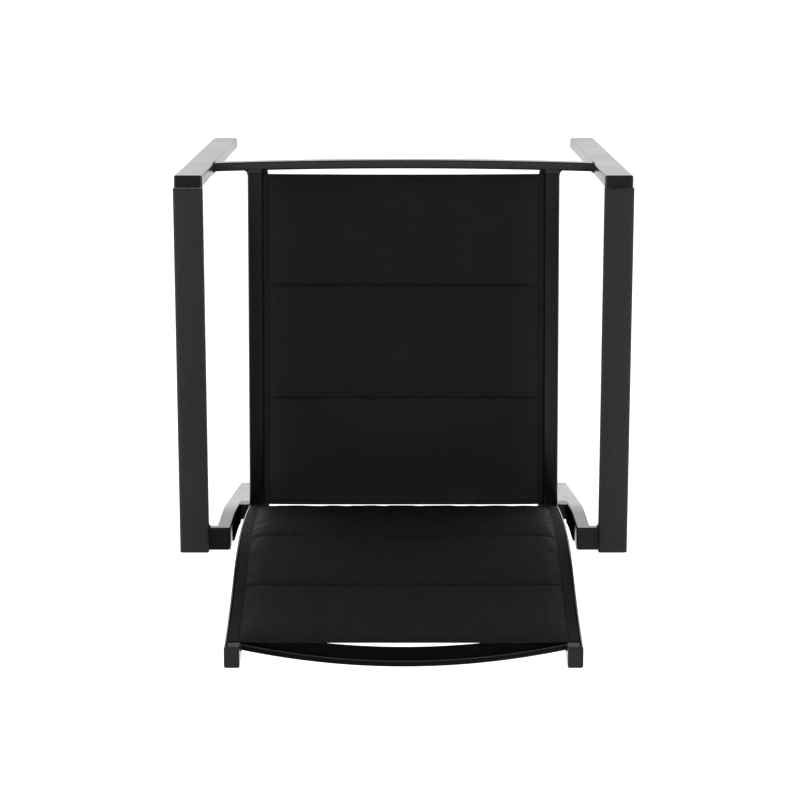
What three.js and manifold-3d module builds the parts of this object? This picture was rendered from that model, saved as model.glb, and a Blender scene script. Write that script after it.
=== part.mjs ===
// A stacking patio chair: a welded frame of flat tube, with a padded seat and a padded back of
// woven mesh, each stretched between two extruded rails. Everything is in millimetres.
// X runs from the sitter's right to the sitter's left, Y from the front to the back, and Z up.
// The front faces of the front legs stand at Y = 0, and the floor is at Z = 0.
import {
  Box3,
  BufferAttribute,
  BufferGeometry,
  CubicBezierCurve3,
  CylinderGeometry,
  ExtrudeGeometry,
  Group,
  LatheGeometry,
  Mesh,
  MeshStandardMaterial,
  Path,
  QuadraticBezierCurve3,
  Shape,
  Vector2,
  Vector3,
} from "three";
import { mergeVertices } from "three/addons/utils/BufferGeometryUtils.js";
import Module from "manifold-3d";

const wasm = await Module();
wasm.setup();

const sideways = new Vector3(1, 0, 0);
const backwards = new Vector3(0, 1, 0);
const upwards = new Vector3(0, 0, 1);

// Clearances
const GAP = 0.3; // between two pieces that touch
const PLAY = 0.6; // round a screw, and round a plug in its tube
const OVERRUN = 5; // how far a cutter reaches past what it cuts

// Arms and front legs
const FRAME_WIDTH = 574; // over the outer faces of the front legs
const LEG_WIDTH = 35.4;
const LEG_DEPTH = 15.5;
const TUBE_WALL = 1.5;
const TUBE_ROUND = 2.2; // radius of the tubes' long edges
const ARM_RISE = 186; // seat rails' front to the arm tube's top face, at the front corner
const ARM_THICKNESS = 15.5;
const ARM_LENGTH = 487; // front corner to the tube's open rear end
const ARM_DROP = 20; // fall of the arm over its length
const ARM_PLUG_FLANGE = 2.2;
const ARM_PLUG_DEPTH = 12;

// Arm pads and their screws
const PAD_OVERHANG = 0.75; // how far the pad stands out past each side of the arm tube
const PAD_THICKNESS = 8;
const PAD_SETBACK = 15; // front corner of the frame to the pad's front end
const PAD_EDGE = 2.4; // radius of the pad's upper long edges
const PAD_END_EASE = 1.2; // how far the pad's ends are eased
const PAD_CROWN = 0.7; // how far the pad's middle stands above its edges
const SCREW_RADIUS = 1.9;
const SCREW_HEAD_RADIUS = 4;
const SCREW_HEAD_HEIGHT = 2.2;
const SCREW_BITE = 5.5; // depth of the screw in the pad
const SCREW_ACCESS_RADIUS = 5; // hole in the arm's lower wall, for the driver
const SCREW_SHARES = [0.1, 0.5, 0.9];

// Rear legs
const REAR_LEG_WIDTH = 18.3;
const REAR_LEG_DEPTH = 29.5;
const REAR_LEG_INSET = 10.3; // front leg's inner face to the rear leg's outer face, at the arm
const REAR_LEG_SPLAY = 11.1; // how much further out the rear foot stands
const REAR_LEG_SETBACK = 1.5; // arm tube's rear end to the rear leg's rear face, at the arm
const REAR_LEG_LEAN = 76.5; // how much further back the rear foot stands
const REAR_BEND_RISE = 44; // seat rails' front to the middle of the rear leg's bend
const REAR_BEND_SPAN = 45; // length of tube that the bend takes, on each side

// Foot glides
const GLIDE_HEIGHT = 4;
const GLIDE_DEPTH = 14; // how far the glide's plug reaches into the leg
const GLIDE_ROUND = 1.5;

// Crossbars
const BAR_DEPTH = 11.5;
const BAR_HEIGHT = 26;
const BAR_ROUND = 2;
const FRONT_BAR_BOW = 4; // how far its middle stands forward of its ends
const REAR_BAR_SETBACK = 22; // rear leg's front face, at the arm, to the rear bar's front face
const TOP_BAR_THICKNESS = 9.5;
const TOP_BAR_HEIGHT = 36;
const TOP_BAR_ROUND = 2.4;
const TOP_BAR_BOW = 20.5; // how far its middle stands behind its ends
const TOP_BAR_DROP = 20; // back rail's top end to the bar's top face
const TOP_BAR_RECESS = 5.5; // back rail's front face to the bar's front face

// Concave welds in the frame's corners: along the bar, and out from it
const WELD_ROOT = 0.7; // how far a weld is sunk into the piece that carries it
const LEG_WELD_WIDTH = 10; // front bar to front leg
const RAIL_WELD_WIDTH = 8; // front bar to the seat rail's outer face
const RAIL_WELD_DEPTH = 8;
const CHANNEL_WELD_WIDTH = 6.5; // front bar to the channel's inner face
const CHANNEL_WELD_DEPTH = 3.2;
const STUB_WELD_WIDTH = 7; // rear arm stub to the arm tube
const STUB_WELD_DEPTH = 5;
const TOP_WELD_WIDTH = 5; // top bar to the back rail
const TOP_WELD_DEPTH = 4;

// Seat rails
const SEAT_HEIGHT = 456; // floor to the rails' top face, at the front leg's front face
const SEAT_DROP = 23; // fall of the rails from there to the rear bar
const SEAT_FRONT_INSET = 44.7; // front leg's inner face to the rail's outer face, at the front bar
const SEAT_REAR_INSET = 41; // the same, at the rear bar
const RAIL_WIDTH = 18.4;
const RAIL_HEIGHT = 25;
const RAIL_WALL = 1.5;
const RAIL_ROUND = 2;

// Channels that hold the cloth's edges
const CHAMBER = 6.8; // inside width and height of a channel
const SLIT = 1.5; // opening of a channel
const ROD_RADIUS = 2;
const ROD_PLAY = 0.4; // between the edge rod and the loop of cloth round it
const CHANNEL_PLUG_LENGTH = 3.2;

// Back rails
const BACK_RAIL_WIDTH = 18.3;
const BACK_RAIL_DEPTH = 25;
const BACK_RAIL_OUTER_WALL = 2.6; // outer face to the channel
const BACK_RISE = 472; // seat rails' front to the top of the end caps
const BACK_FOOT_LEAD = 10; // how far the rail's front face stands ahead of the rear bar, at its foot
const BACK_LEAN = 58.5; // how far the rail's top stands behind its foot
const BACK_LOWER_HANDLE_SHARES = [-0.6, 0.61];
const BACK_UPPER_HANDLE_SHARES = [0.444, 0.592];
const BACK_CAP_THICKNESS = 3;
const BACK_CAP_DEPTH = 10;
const BACK_CAP_ROUND = 1.2;

// Padded cloth
const CLOTH = 0.8;
const PAD_RISE = 6; // how far a panel's middle stands above its seams
const PAD_SIDE_POWER = 6; // higher is fuller towards the sides
const PAD_SEAM_POWER = 4; // higher is fuller towards the seams
const SEAT_FRONT_SLOT = 6.7; // front bar's rear face, at its middle, to the seat cloth's edge
const SEAT_REAR_SLOT = 10.5; // seat cloth's rear edge to the rear bar's front face
const SEAT_SEAM_SHARES = [0, 0.327, 0.669, 1];
const SEAT_PAD_INSET = 27.4; // rail's outer face to the padding
const BACK_LOWER_SLOT = 26.8; // rail's foot to the back cloth's lower edge
const BACK_UPPER_SLOT = 12.6; // back cloth's upper edge to the rail's top end
const BACK_SEAM_SHARES = [0, 0.396, 0.69, 1];
const BACK_PAD_INSET = 16.2;
const HEM = 6.5; // flat hem at each free edge
const EDGE_DRAW = 2.8; // how far the middle of a free edge is drawn in
const ACROSS_SHARES = [0.25, 0.6, 0.85, 0.95, 1];
const PANEL_SHARES = [0, 0.08, 0.25, 0.5, 0.75, 0.92];

// Counts
const ROUND_STEPS = 1; // half the facets of a quarter circle
const LOOP_STEPS = 4; // half the facets of a whole small circle
const BOW_STEPS = 14;
const BEND_STEPS = 5;
const WELD_STEPS = 4;
const SCREW_STEPS = 12;

// Half widths, heights, places and slopes that several pieces share
const legInner = FRAME_WIDTH / 2 - LEG_WIDTH;
const legCentre = FRAME_WIDTH / 2 - LEG_WIDTH / 2;
const seatHalf = legInner - SEAT_FRONT_INSET;
const backHalf = legInner - SEAT_REAR_INSET;
const armHeight = SEAT_HEIGHT + ARM_RISE;
const bendHeight = SEAT_HEIGHT + REAR_BEND_RISE;
const rearLegPlace = ARM_LENGTH - REAR_LEG_SETBACK - REAR_LEG_DEPTH;
const rearBarPlace = rearLegPlace + REAR_BAR_SETBACK;
const backFootPlace = rearBarPlace - BACK_FOOT_LEAD;
const seatClothStart = BAR_DEPTH - FRONT_BAR_BOW + SEAT_FRONT_SLOT;
const padWidth = LEG_WIDTH + 2 * PAD_OVERHANG;
const padLength = ARM_LENGTH - PAD_SETBACK;
const armSlope = ARM_DROP / ARM_LENGTH;
const armAngle = Math.atan(armSlope);
const seatSlope = SEAT_DROP / rearBarPlace;
const channelWidth = CHAMBER + RAIL_WALL;
const loopRadius = ROD_RADIUS + ROD_PLAY;

const finishes = {
  frame: new MeshStandardMaterial({ color: 0x202021, roughness: 0.34, metalness: 0.3 }),
  pad: new MeshStandardMaterial({ color: 0x383530, roughness: 0.55, metalness: 0 }),
  cloth: new MeshStandardMaterial({ color: 0x1e1f20, roughness: 0.85, metalness: 0 }),
  foam: new MeshStandardMaterial({ color: 0x6a6a66, roughness: 0.95, metalness: 0 }),
  rod: new MeshStandardMaterial({ color: 0x2a2a2a, roughness: 0.6, metalness: 0 }),
  plastic: new MeshStandardMaterial({ color: 0x2b2a28, roughness: 0.5, metalness: 0 }),
  steel: new MeshStandardMaterial({ color: 0x8d8f92, roughness: 0.35, metalness: 0.9 }),
};

// Six times the volume inside a closed mesh, below zero when its faces point inwards.
function signedVolume(geometry) {
  const places = geometry.attributes.position;
  const [a, b, c] = [new Vector3(), new Vector3(), new Vector3()];
  let total = 0;
  for (let i = 0; i < geometry.index.count; i += 3) {
    a.fromBufferAttribute(places, geometry.index.getX(i));
    b.fromBufferAttribute(places, geometry.index.getX(i + 1));
    c.fromBufferAttribute(places, geometry.index.getX(i + 2));
    total += a.dot(b.cross(c));
  }
  return total;
}

// Positions alone, with shared corners merged and every face pointing outwards.
function closed(geometry) {
  const bare = new BufferGeometry();
  bare.setAttribute("position", geometry.getAttribute("position"));
  bare.setIndex(geometry.index);
  const merged = mergeVertices(bare);
  if (signedVolume(merged) < 0) {
    merged.index.array.reverse();
  }
  return merged;
}

function solidOf(geometry) {
  const { attributes, index } = closed(geometry);
  return new wasm.Manifold(
    new wasm.Mesh({
      numProp: 3,
      vertProperties: new Float32Array(attributes.position.array),
      triVerts: new Uint32Array(index.array),
    }),
  );
}

function geometryOf(solid) {
  const { vertProperties, triVerts } = solid.getMesh();
  const geometry = new BufferGeometry();
  geometry.setAttribute("position", new BufferAttribute(vertProperties, 3));
  geometry.setIndex(new BufferAttribute(triVerts, 1));
  return geometry;
}

function joined(first, second) {
  return geometryOf(solidOf(first).add(solidOf(second)));
}

function cut(body, cutters) {
  return geometryOf(cutters.reduce((left, tool) => left.subtract(solidOf(tool)), solidOf(body)));
}

// The right-hand twin of a piece of the left side.
function mirrored(geometry) {
  return closed(geometry.clone().scale(-1, 1, 1));
}

// Carries an outline through a row of stations. place turns a point of the outline and the
// station's number into a point of the chair.
function carried(shape, spans, place, curveSegments = ROUND_STEPS) {
  const geometry = new ExtrudeGeometry(shape, {
    depth: spans,
    steps: spans,
    bevelEnabled: false,
    curveSegments,
  });
  const places = geometry.attributes.position;
  for (let i = 0; i < places.count; i += 1) {
    const point = place(places.getX(i), places.getY(i), Math.round(places.getZ(i)));
    places.setXYZ(i, point.x, point.y, point.z);
  }
  return closed(geometry);
}

// Stations that each have a centre, and a direction for the outline's two sides.
function alongStations(shape, stations) {
  return carried(shape, stations.length - 1, (x, y, k) => {
    const { at, across, up } = stations[k];
    return at.clone().addScaledVector(across, x).addScaledVector(up, y);
  });
}

function roundedBar(width, height, radius) {
  const [w, h] = [width / 2 - radius, height / 2 - radius];
  const outline = new Shape();
  outline.moveTo(w + radius, -h);
  outline.lineTo(w + radius, h);
  outline.absarc(w, h, radius, 0, Math.PI / 2);
  outline.lineTo(-w, h + radius);
  outline.absarc(-w, h, radius, Math.PI / 2, Math.PI);
  outline.lineTo(-w - radius, -h);
  outline.absarc(-w, -h, radius, Math.PI, Math.PI * 1.5);
  outline.lineTo(w, -h - radius);
  outline.absarc(w, -h, radius, Math.PI * 1.5, Math.PI * 2);
  return outline;
}

function rectanglePoints(width, height) {
  const [w, h] = [width / 2, height / 2];
  return [new Vector2(-w, -h), new Vector2(w, -h), new Vector2(w, h), new Vector2(-w, h)];
}

function tubeSection(width, height, wall, radius) {
  const section = roundedBar(width, height, radius);
  section.holes.push(new Path(rectanglePoints(width - 2 * wall, height - 2 * wall)));
  return section;
}

function disc(x, y, radius) {
  const hole = new Path();
  hole.absarc(x, y, radius, 0, Math.PI * 2);
  return hole;
}

// Turns a round piece, made along Y, into a direction, and moves its start to a point.
function turnedTo(geometry, direction, start) {
  const mesh = new Mesh(geometry);
  mesh.quaternion.setFromUnitVectors(backwards, direction);
  mesh.position.copy(start);
  mesh.updateMatrix();
  return geometry.applyMatrix4(mesh.matrix);
}

function drill(radius, from, to) {
  const along = to.clone().sub(from);
  const tool = new CylinderGeometry(radius, radius, along.length(), SCREW_STEPS);
  tool.translate(0, along.length() / 2, 0);
  return turnedTo(tool, along.normalize(), from);
}

// The arm's own directions: along it to the rear, and out of its top face.
const armAlong = new Vector3(0, Math.cos(armAngle), -Math.sin(armAngle));
const armUp = new Vector3(0, Math.sin(armAngle), Math.cos(armAngle));

// A point of the left arm: its distance along the arm's top face, and above it.
function armPoint(along, above) {
  const corner = new Vector3(legCentre, 0, armHeight);
  return corner.addScaledVector(armAlong, along).addScaledVector(armUp, above);
}

// The mitre runs from the frame's front top corner to the inner corner under the arm.
const mitreTop = new Vector3(legCentre, 0, armHeight);
const mitreFoot = new Vector3(
  legCentre,
  LEG_DEPTH,
  armHeight - ARM_THICKNESS / Math.cos(armAngle) - LEG_DEPTH * armSlope,
);
const mitreCentre = mitreTop.clone().add(mitreFoot).divideScalar(2);

function frontLeg() {
  const section = tubeSection(LEG_WIDTH, LEG_DEPTH, TUBE_WALL, TUBE_ROUND);
  const down = mitreFoot.clone().sub(mitreTop).divideScalar(LEG_DEPTH);
  const top = mitreCentre.clone().addScaledVector(upwards, -GAP * Math.SQRT2);
  return alongStations(section, [
    { at: new Vector3(legCentre, LEG_DEPTH / 2, GLIDE_HEIGHT + GAP), across: sideways, up: backwards },
    { at: top, across: sideways, up: down },
  ]);
}

// A concave weld in a corner. along and out are its two legs, and rise is its length.
function weldFillet(corner, along, out, rise) {
  const outline = new Shape();
  outline.moveTo(0, 0);
  outline.lineTo(1, 0);
  outline.quadraticCurveTo(0, 0, 0, 1);
  const root = corner.clone().addScaledVector(out, -WELD_ROOT / out.length());
  const place = (x, y, k) => {
    const point = root.clone().addScaledVector(along, x);
    return point.addScaledVector(out, y).addScaledVector(rise, k);
  };
  return carried(outline, 1, place, WELD_STEPS);
}

function screwStarts() {
  return SCREW_SHARES.map((share) => PAD_SETBACK + share * padLength);
}

function armTube() {
  const section = tubeSection(LEG_WIDTH, ARM_THICKNESS, TUBE_WALL, TUBE_ROUND);
  const up = mitreTop.clone().sub(mitreFoot).divideScalar(ARM_THICKNESS);
  const tube = alongStations(section, [
    { at: mitreCentre, across: sideways, up },
    { at: armPoint(ARM_LENGTH, -ARM_THICKNESS / 2), across: sideways, up: armUp },
  ]);
  const holes = screwStarts().flatMap((start) => [
    drill(SCREW_RADIUS + PLAY / 2, armPoint(start, -ARM_THICKNESS / 2), armPoint(start, OVERRUN)),
    drill(
      SCREW_ACCESS_RADIUS,
      armPoint(start, -ARM_THICKNESS - OVERRUN),
      armPoint(start, -ARM_THICKNESS / 2),
    ),
  ]);
  return cut(tube, holes);
}

function armPlug() {
  const flange = roundedBar(LEG_WIDTH, ARM_THICKNESS, TUBE_ROUND);
  const inside = 2 * TUBE_WALL + PLAY;
  const stem = new Shape(rectanglePoints(LEG_WIDTH - inside, ARM_THICKNESS - inside));
  const station = (along) => ({
    at: armPoint(along, -ARM_THICKNESS / 2),
    across: sideways,
    up: armUp,
  });
  const outside = ARM_LENGTH + GAP;
  return joined(
    alongStations(flange, [station(outside), station(outside + ARM_PLUG_FLANGE)]),
    alongStations(stem, [
      station(outside - ARM_PLUG_DEPTH),
      station(outside + ARM_PLUG_FLANGE / 2),
    ]),
  );
}

// The pad's section: flat below, with rounded upper edges and a slight crown.
function padSection() {
  const [w, h, r] = [padWidth / 2, PAD_THICKNESS, PAD_EDGE];
  const section = new Shape();
  section.moveTo(-w, 0);
  section.lineTo(w, 0);
  section.lineTo(w, h - r);
  section.absarc(w - r, h - r, r, 0, Math.PI / 2);
  section.lineTo(0, h + PAD_CROWN);
  section.lineTo(r - w, h);
  section.absarc(r - w, h - r, r, Math.PI / 2, Math.PI);
  return section;
}

function armPad() {
  const [w, h] = [padWidth / 2, PAD_THICKNESS];
  const station = (along, ease) => ({ along, ease });
  const stations = [
    station(PAD_SETBACK, 1),
    station(PAD_SETBACK + PAD_END_EASE, 0),
    station(PAD_SETBACK + padLength - PAD_END_EASE, 0),
    station(PAD_SETBACK + padLength, 1),
  ];
  const plank = carried(padSection(), stations.length - 1, (x, y, k) => {
    const { along, ease } = stations[k];
    const narrow = x * (1 - (ease * PAD_END_EASE) / w);
    const low = y * (1 - (ease * PAD_END_EASE) / h);
    return armPoint(along, GAP + low).addScaledVector(sideways, narrow);
  });
  const pilots = screwStarts().map((start) =>
    drill(
      SCREW_RADIUS + PLAY / 2,
      armPoint(start, -OVERRUN),
      armPoint(start, GAP + SCREW_BITE + PLAY / 2),
    ),
  );
  return cut(plank, pilots);
}

// A pan-head screw from below: its head bears on the inside of the arm's upper wall.
function armPadScrew(start) {
  const head = -TUBE_WALL - GAP;
  const length = GAP + SCREW_BITE - head;
  const profile = [
    new Vector2(0, 0),
    new Vector2(SCREW_RADIUS, 0),
    new Vector2(SCREW_RADIUS, length),
    new Vector2(SCREW_HEAD_RADIUS, length),
    new Vector2(SCREW_HEAD_RADIUS, length + SCREW_HEAD_HEIGHT / 2),
    new Vector2(SCREW_HEAD_RADIUS - SCREW_HEAD_HEIGHT / 2, length + SCREW_HEAD_HEIGHT),
    new Vector2(0, length + SCREW_HEAD_HEIGHT),
  ];
  const turned = new LatheGeometry(profile, SCREW_STEPS);
  return closed(turnedTo(turned, armUp.clone().negate(), armPoint(start, GAP + SCREW_BITE)));
}

// Rear leg. Its outer face leans out below the bend, as its front face leans back.
const rearOuterTop = legInner - REAR_LEG_INSET;
const rearSlope = REAR_LEG_LEAN / bendHeight;
const rearSplaySlope = REAR_LEG_SPLAY / bendHeight;
const rearCentreTop = rearOuterTop - REAR_LEG_WIDTH / 2;
const rearDepthShare = Math.hypot(1, rearSlope); // a level cut is this much deeper than the tube

function rearLegCentre(height) {
  const below = Math.max(0, bendHeight - height);
  const depth = below > 0 ? REAR_LEG_DEPTH * rearDepthShare : REAR_LEG_DEPTH;
  return new Vector3(
    rearCentreTop + below * rearSplaySlope,
    rearLegPlace + below * rearSlope + depth / 2,
    height,
  );
}

// The stub is level, and its rear edge is as high as the arm's top face there.
const stubPlace = rearLegPlace + REAR_LEG_DEPTH / 2;
const stubTop = armHeight - (rearLegPlace + REAR_LEG_DEPTH) * armSlope;
const stubMitre = new Vector3(rearCentreTop, stubPlace, stubTop - ARM_THICKNESS / 2);

function rearLeg() {
  const section = tubeSection(REAR_LEG_WIDTH, REAR_LEG_DEPTH, TUBE_WALL, TUBE_ROUND);
  const bend = new QuadraticBezierCurve3(
    rearLegCentre(bendHeight - REAR_BEND_SPAN),
    new Vector3(rearCentreTop, stubPlace, bendHeight),
    new Vector3(rearCentreTop, stubPlace, bendHeight + REAR_BEND_SPAN),
  );
  const bendStations = bend.getPoints(BEND_STEPS).map((at, i) => {
    const along = bend.getTangent(i / BEND_STEPS);
    return { at, across: sideways, up: new Vector3(0, along.z, -along.y) };
  });
  const mitreAcross = new Vector3(1, 0, -ARM_THICKNESS / REAR_LEG_WIDTH);
  const top = stubMitre.clone().addScaledVector(upwards, -GAP * Math.SQRT2);
  return alongStations(section, [
    {
      at: rearLegCentre(GLIDE_HEIGHT + GAP),
      across: sideways,
      up: backwards.clone().multiplyScalar(rearDepthShare),
    },
    ...bendStations,
    { at: top, across: mitreAcross, up: backwards },
  ]);
}

function rearArmStub() {
  const section = tubeSection(ARM_THICKNESS, REAR_LEG_DEPTH, TUBE_WALL, TUBE_ROUND);
  const lean = new Vector3(-REAR_LEG_WIDTH / ARM_THICKNESS, 0, 1);
  const end = stubMitre.clone().setX(legInner - GAP);
  const stub = alongStations(section, [
    { at: stubMitre, across: lean, up: backwards },
    { at: end, across: upwards, up: backwards },
  ]);
  const weld = weldFillet(
    new Vector3(end.x, rearLegPlace, stubTop - ARM_THICKNESS + TUBE_ROUND),
    new Vector3(-STUB_WELD_WIDTH, 0, 0),
    new Vector3(0, -STUB_WELD_DEPTH, 0),
    new Vector3(0, 0, ARM_THICKNESS - 2 * TUBE_ROUND),
  );
  return joined(stub, weld);
}

function frontFootGlide() {
  const sole = roundedBar(LEG_WIDTH, LEG_DEPTH, TUBE_ROUND);
  const inside = 2 * TUBE_WALL + PLAY;
  const stem = new Shape(rectanglePoints(LEG_WIDTH - inside, LEG_DEPTH - inside));
  const station = (height, share) => ({
    at: new Vector3(legCentre, LEG_DEPTH / 2, height),
    across: sideways.clone().multiplyScalar(share),
    up: backwards.clone().multiplyScalar(share),
  });
  const easedShare = 1 - GLIDE_ROUND / LEG_DEPTH;
  return joined(
    alongStations(sole, [station(0, easedShare), station(GLIDE_ROUND, 1), station(GLIDE_HEIGHT, 1)]),
    alongStations(stem, [station(GLIDE_ROUND, 1), station(GLIDE_HEIGHT + GLIDE_DEPTH, 1)]),
  );
}

function rearFootGlide() {
  const sole = roundedBar(REAR_LEG_WIDTH, REAR_LEG_DEPTH, TUBE_ROUND);
  const inside = 2 * TUBE_WALL + PLAY;
  const stem = new Shape(rectanglePoints(REAR_LEG_WIDTH - inside, REAR_LEG_DEPTH - inside));
  const station = (height, share) => ({
    at: rearLegCentre(height),
    across: sideways.clone().multiplyScalar(share),
    up: backwards.clone().multiplyScalar(rearDepthShare * share),
  });
  const easedShare = 1 - GLIDE_ROUND / REAR_LEG_WIDTH;
  return joined(
    alongStations(sole, [station(0, easedShare), station(GLIDE_ROUND, 1), station(GLIDE_HEIGHT, 1)]),
    alongStations(stem, [station(GLIDE_ROUND, 1), station(GLIDE_HEIGHT + GLIDE_DEPTH, 1)]),
  );
}

// The front bar lies between the front legs, flush with their front faces at its ends.
const frontBarHalf = legInner - GAP;

function frontBarFace(x) {
  return -FRONT_BAR_BOW * (1 - (x / frontBarHalf) ** 2);
}

function acrossStations(half) {
  return Array.from({ length: BOW_STEPS + 1 }, (_, i) => half * ((2 * i) / BOW_STEPS - 1));
}

// The welds behind the bar: at the leg, and on both sides of the seat rail with its channel.
function frontBarWelds() {
  const weld = (x, width, depth) =>
    weldFillet(
      new Vector3(x, frontBarFace(x) + BAR_DEPTH, SEAT_HEIGHT - BAR_HEIGHT + BAR_ROUND),
      new Vector3(width, 0, 0),
      new Vector3(0, depth, 0),
      new Vector3(0, 0, BAR_HEIGHT - 2 * BAR_ROUND),
    );
  const railInner = seatHalf - RAIL_WIDTH - channelWidth;
  return [
    weld(frontBarHalf, -LEG_WELD_WIDTH, LEG_DEPTH - BAR_DEPTH),
    weld(seatHalf + GAP, RAIL_WELD_WIDTH, RAIL_WELD_DEPTH),
    weld(railInner - GAP, -CHANNEL_WELD_WIDTH, CHANNEL_WELD_DEPTH),
  ];
}

function frontCrossbar() {
  const section = tubeSection(BAR_DEPTH, BAR_HEIGHT, TUBE_WALL, BAR_ROUND);
  const stations = acrossStations(frontBarHalf).map((x) => ({
    at: new Vector3(x, frontBarFace(x) + BAR_DEPTH / 2, SEAT_HEIGHT - BAR_HEIGHT / 2),
    across: backwards,
    up: upwards,
  }));
  const welds = frontBarWelds().flatMap((weld) => [weld, mirrored(weld)]);
  return welds.reduce(joined, alongStations(section, stations));
}

// Height of the seat rails' top face at a distance behind the front legs' front faces.
function seatHeight(run) {
  return SEAT_HEIGHT - run * seatSlope;
}

// The rear bar lies between the rear legs, under the back rails' feet.
function rearCrossbar() {
  const section = tubeSection(BAR_DEPTH, BAR_HEIGHT, TUBE_WALL, BAR_ROUND);
  const height = seatHeight(rearBarPlace) - BAR_HEIGHT / 2 - GAP;
  const end = rearLegCentre(height).x - REAR_LEG_WIDTH / 2 - GAP;
  const station = (side) => ({
    at: new Vector3(side * end, rearBarPlace + BAR_DEPTH / 2, height),
    across: backwards,
    up: new Vector3(-side * rearSplaySlope, 0, 1),
  });
  return alongStations(section, [station(-1), station(1)]);
}

// A point on the seat. x is measured where the rails start, run is the distance behind the front
// legs' front faces, and lift is the height above the rails' top face.
const seatStart = frontBarFace(seatHalf) + BAR_DEPTH + GAP;
const seatPadHalf = seatHalf - SEAT_PAD_INSET;

function seatPoint(x, lift, run) {
  const travelShare = (run - seatStart) / (rearBarPlace - seatStart);
  const spread = (backHalf - seatHalf) * travelShare;
  const moved = x + spread * Math.max(-1, Math.min(1, x / seatPadHalf));
  return new Vector3(moved, run, seatHeight(run) + lift);
}

// A seat rail's section, seen along the rail: a box, and a channel on its inner side that opens
// upwards. X is measured from the outer face and Y from the top face.
function seatRailSection() {
  const floor = -RAIL_WALL - CHAMBER;
  const section = new Shape();
  section.moveTo(0, -RAIL_ROUND);
  section.absarc(-RAIL_ROUND, -RAIL_ROUND, RAIL_ROUND, 0, Math.PI / 2);
  section.lineTo(-RAIL_WIDTH, 0);
  section.lineTo(-RAIL_WIDTH, floor);
  section.lineTo(-RAIL_WIDTH - CHAMBER, floor);
  section.lineTo(-RAIL_WIDTH - CHAMBER, -RAIL_WALL);
  section.lineTo(-RAIL_WIDTH - SLIT, -RAIL_WALL);
  section.lineTo(-RAIL_WIDTH - SLIT, 0);
  section.lineTo(-RAIL_WIDTH - channelWidth, 0);
  section.lineTo(-RAIL_WIDTH - channelWidth, floor - RAIL_WALL);
  section.lineTo(-RAIL_WIDTH, floor - RAIL_WALL);
  section.lineTo(-RAIL_WIDTH, -RAIL_HEIGHT);
  section.lineTo(-RAIL_ROUND, -RAIL_HEIGHT);
  section.absarc(-RAIL_ROUND, RAIL_ROUND - RAIL_HEIGHT, RAIL_ROUND, -Math.PI / 2, 0);
  const inside = rectanglePoints(RAIL_WIDTH - 2 * RAIL_WALL, RAIL_HEIGHT - 2 * RAIL_WALL);
  const centre = new Vector2(-RAIL_WIDTH / 2, -RAIL_HEIGHT / 2);
  section.holes.push(new Path(inside.map((corner) => corner.add(centre))));
  return section;
}

// The rail butts against the bowed front bar and against the straight rear bar.
function seatRail() {
  return carried(seatRailSection(), 1, (x, y, k) => {
    const across = seatHalf + x;
    const front = frontBarFace(across) + BAR_DEPTH + GAP;
    return seatPoint(across, y, k === 0 ? front : rearBarPlace - GAP);
  });
}

// A small plug closes the channel's front end, ahead of the cloth.
function seatChannelPlug() {
  const [low, high] = [-RAIL_WALL - CHAMBER + GAP, -RAIL_WALL - GAP];
  const [inner, outer] = [-RAIL_WIDTH - CHAMBER + GAP, -RAIL_WIDTH - GAP];
  const neck = -RAIL_WIDTH - SLIT + GAP;
  const section = new Shape([
    new Vector2(inner, low),
    new Vector2(outer, low),
    new Vector2(outer, GAP),
    new Vector2(neck, GAP),
    new Vector2(neck, high),
    new Vector2(inner, high),
  ]);
  return carried(section, 1, (x, y, k) => {
    const rear = seatClothStart - GAP;
    return seatPoint(seatHalf + x, y, k === 0 ? rear - CHANNEL_PLUG_LENGTH : rear);
  });
}

// The line of a back rail's front face, from its foot on the seat rail to its top end.
const backTop = SEAT_HEIGHT + BACK_RISE - BACK_CAP_THICKNESS - GAP;
const backFoot = new Vector3(0, backFootPlace, seatHeight(backFootPlace) + GAP);
const backHead = new Vector3(0, backFootPlace + BACK_LEAN, backTop);

function backHandle([leanShare, riseShare]) {
  const rise = backTop - backFoot.z;
  return new Vector3(0, backFoot.y + BACK_LEAN * leanShare, backFoot.z + rise * riseShare);
}

const backLine = new CubicBezierCurve3(
  backFoot,
  backHandle(BACK_LOWER_HANDLE_SHARES),
  backHandle(BACK_UPPER_HANDLE_SHARES),
  backHead,
);
const backLength = backLine.getLength();

// The direction out of the rail's front face: level with the seat at the foot, level with the
// floor at the top end, and square to the rail between them.
function backForward(climb) {
  const along = backLine.getTangentAt(climb / backLength);
  if (climb === 0) {
    return new Vector3(0, -1, seatSlope);
  }
  if (climb === backLength) {
    return new Vector3(0, -1 / along.z, 0);
  }
  return new Vector3(0, -along.z, along.y);
}

// A point on the back: x across, lift out of the rails' front face, climb up from their feet.
function backPoint(x, lift, climb) {
  const at = backLine.getPointAt(climb / backLength);
  return at.addScaledVector(sideways, x).addScaledVector(backForward(climb), lift);
}

// Numbers of the rows of a padded cloth: the front hem, three sewn panels and the rear hem.
function clothRows(start, length, seamShares) {
  const seams = seamShares.map((share) => start + HEM + share * (length - 2 * HEM));
  const panels = seams.slice(1).flatMap((end, i) =>
    PANEL_SHARES.map((share) => ({
      place: seams[i] + share * (end - seams[i]),
      fullness: 1 - Math.abs(2 * share - 1) ** PAD_SEAM_POWER,
    })),
  );
  const flat = (place) => ({ place, fullness: 0 });
  return [flat(start), ...panels, flat(seams.at(-1)), flat(start + length)];
}

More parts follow.
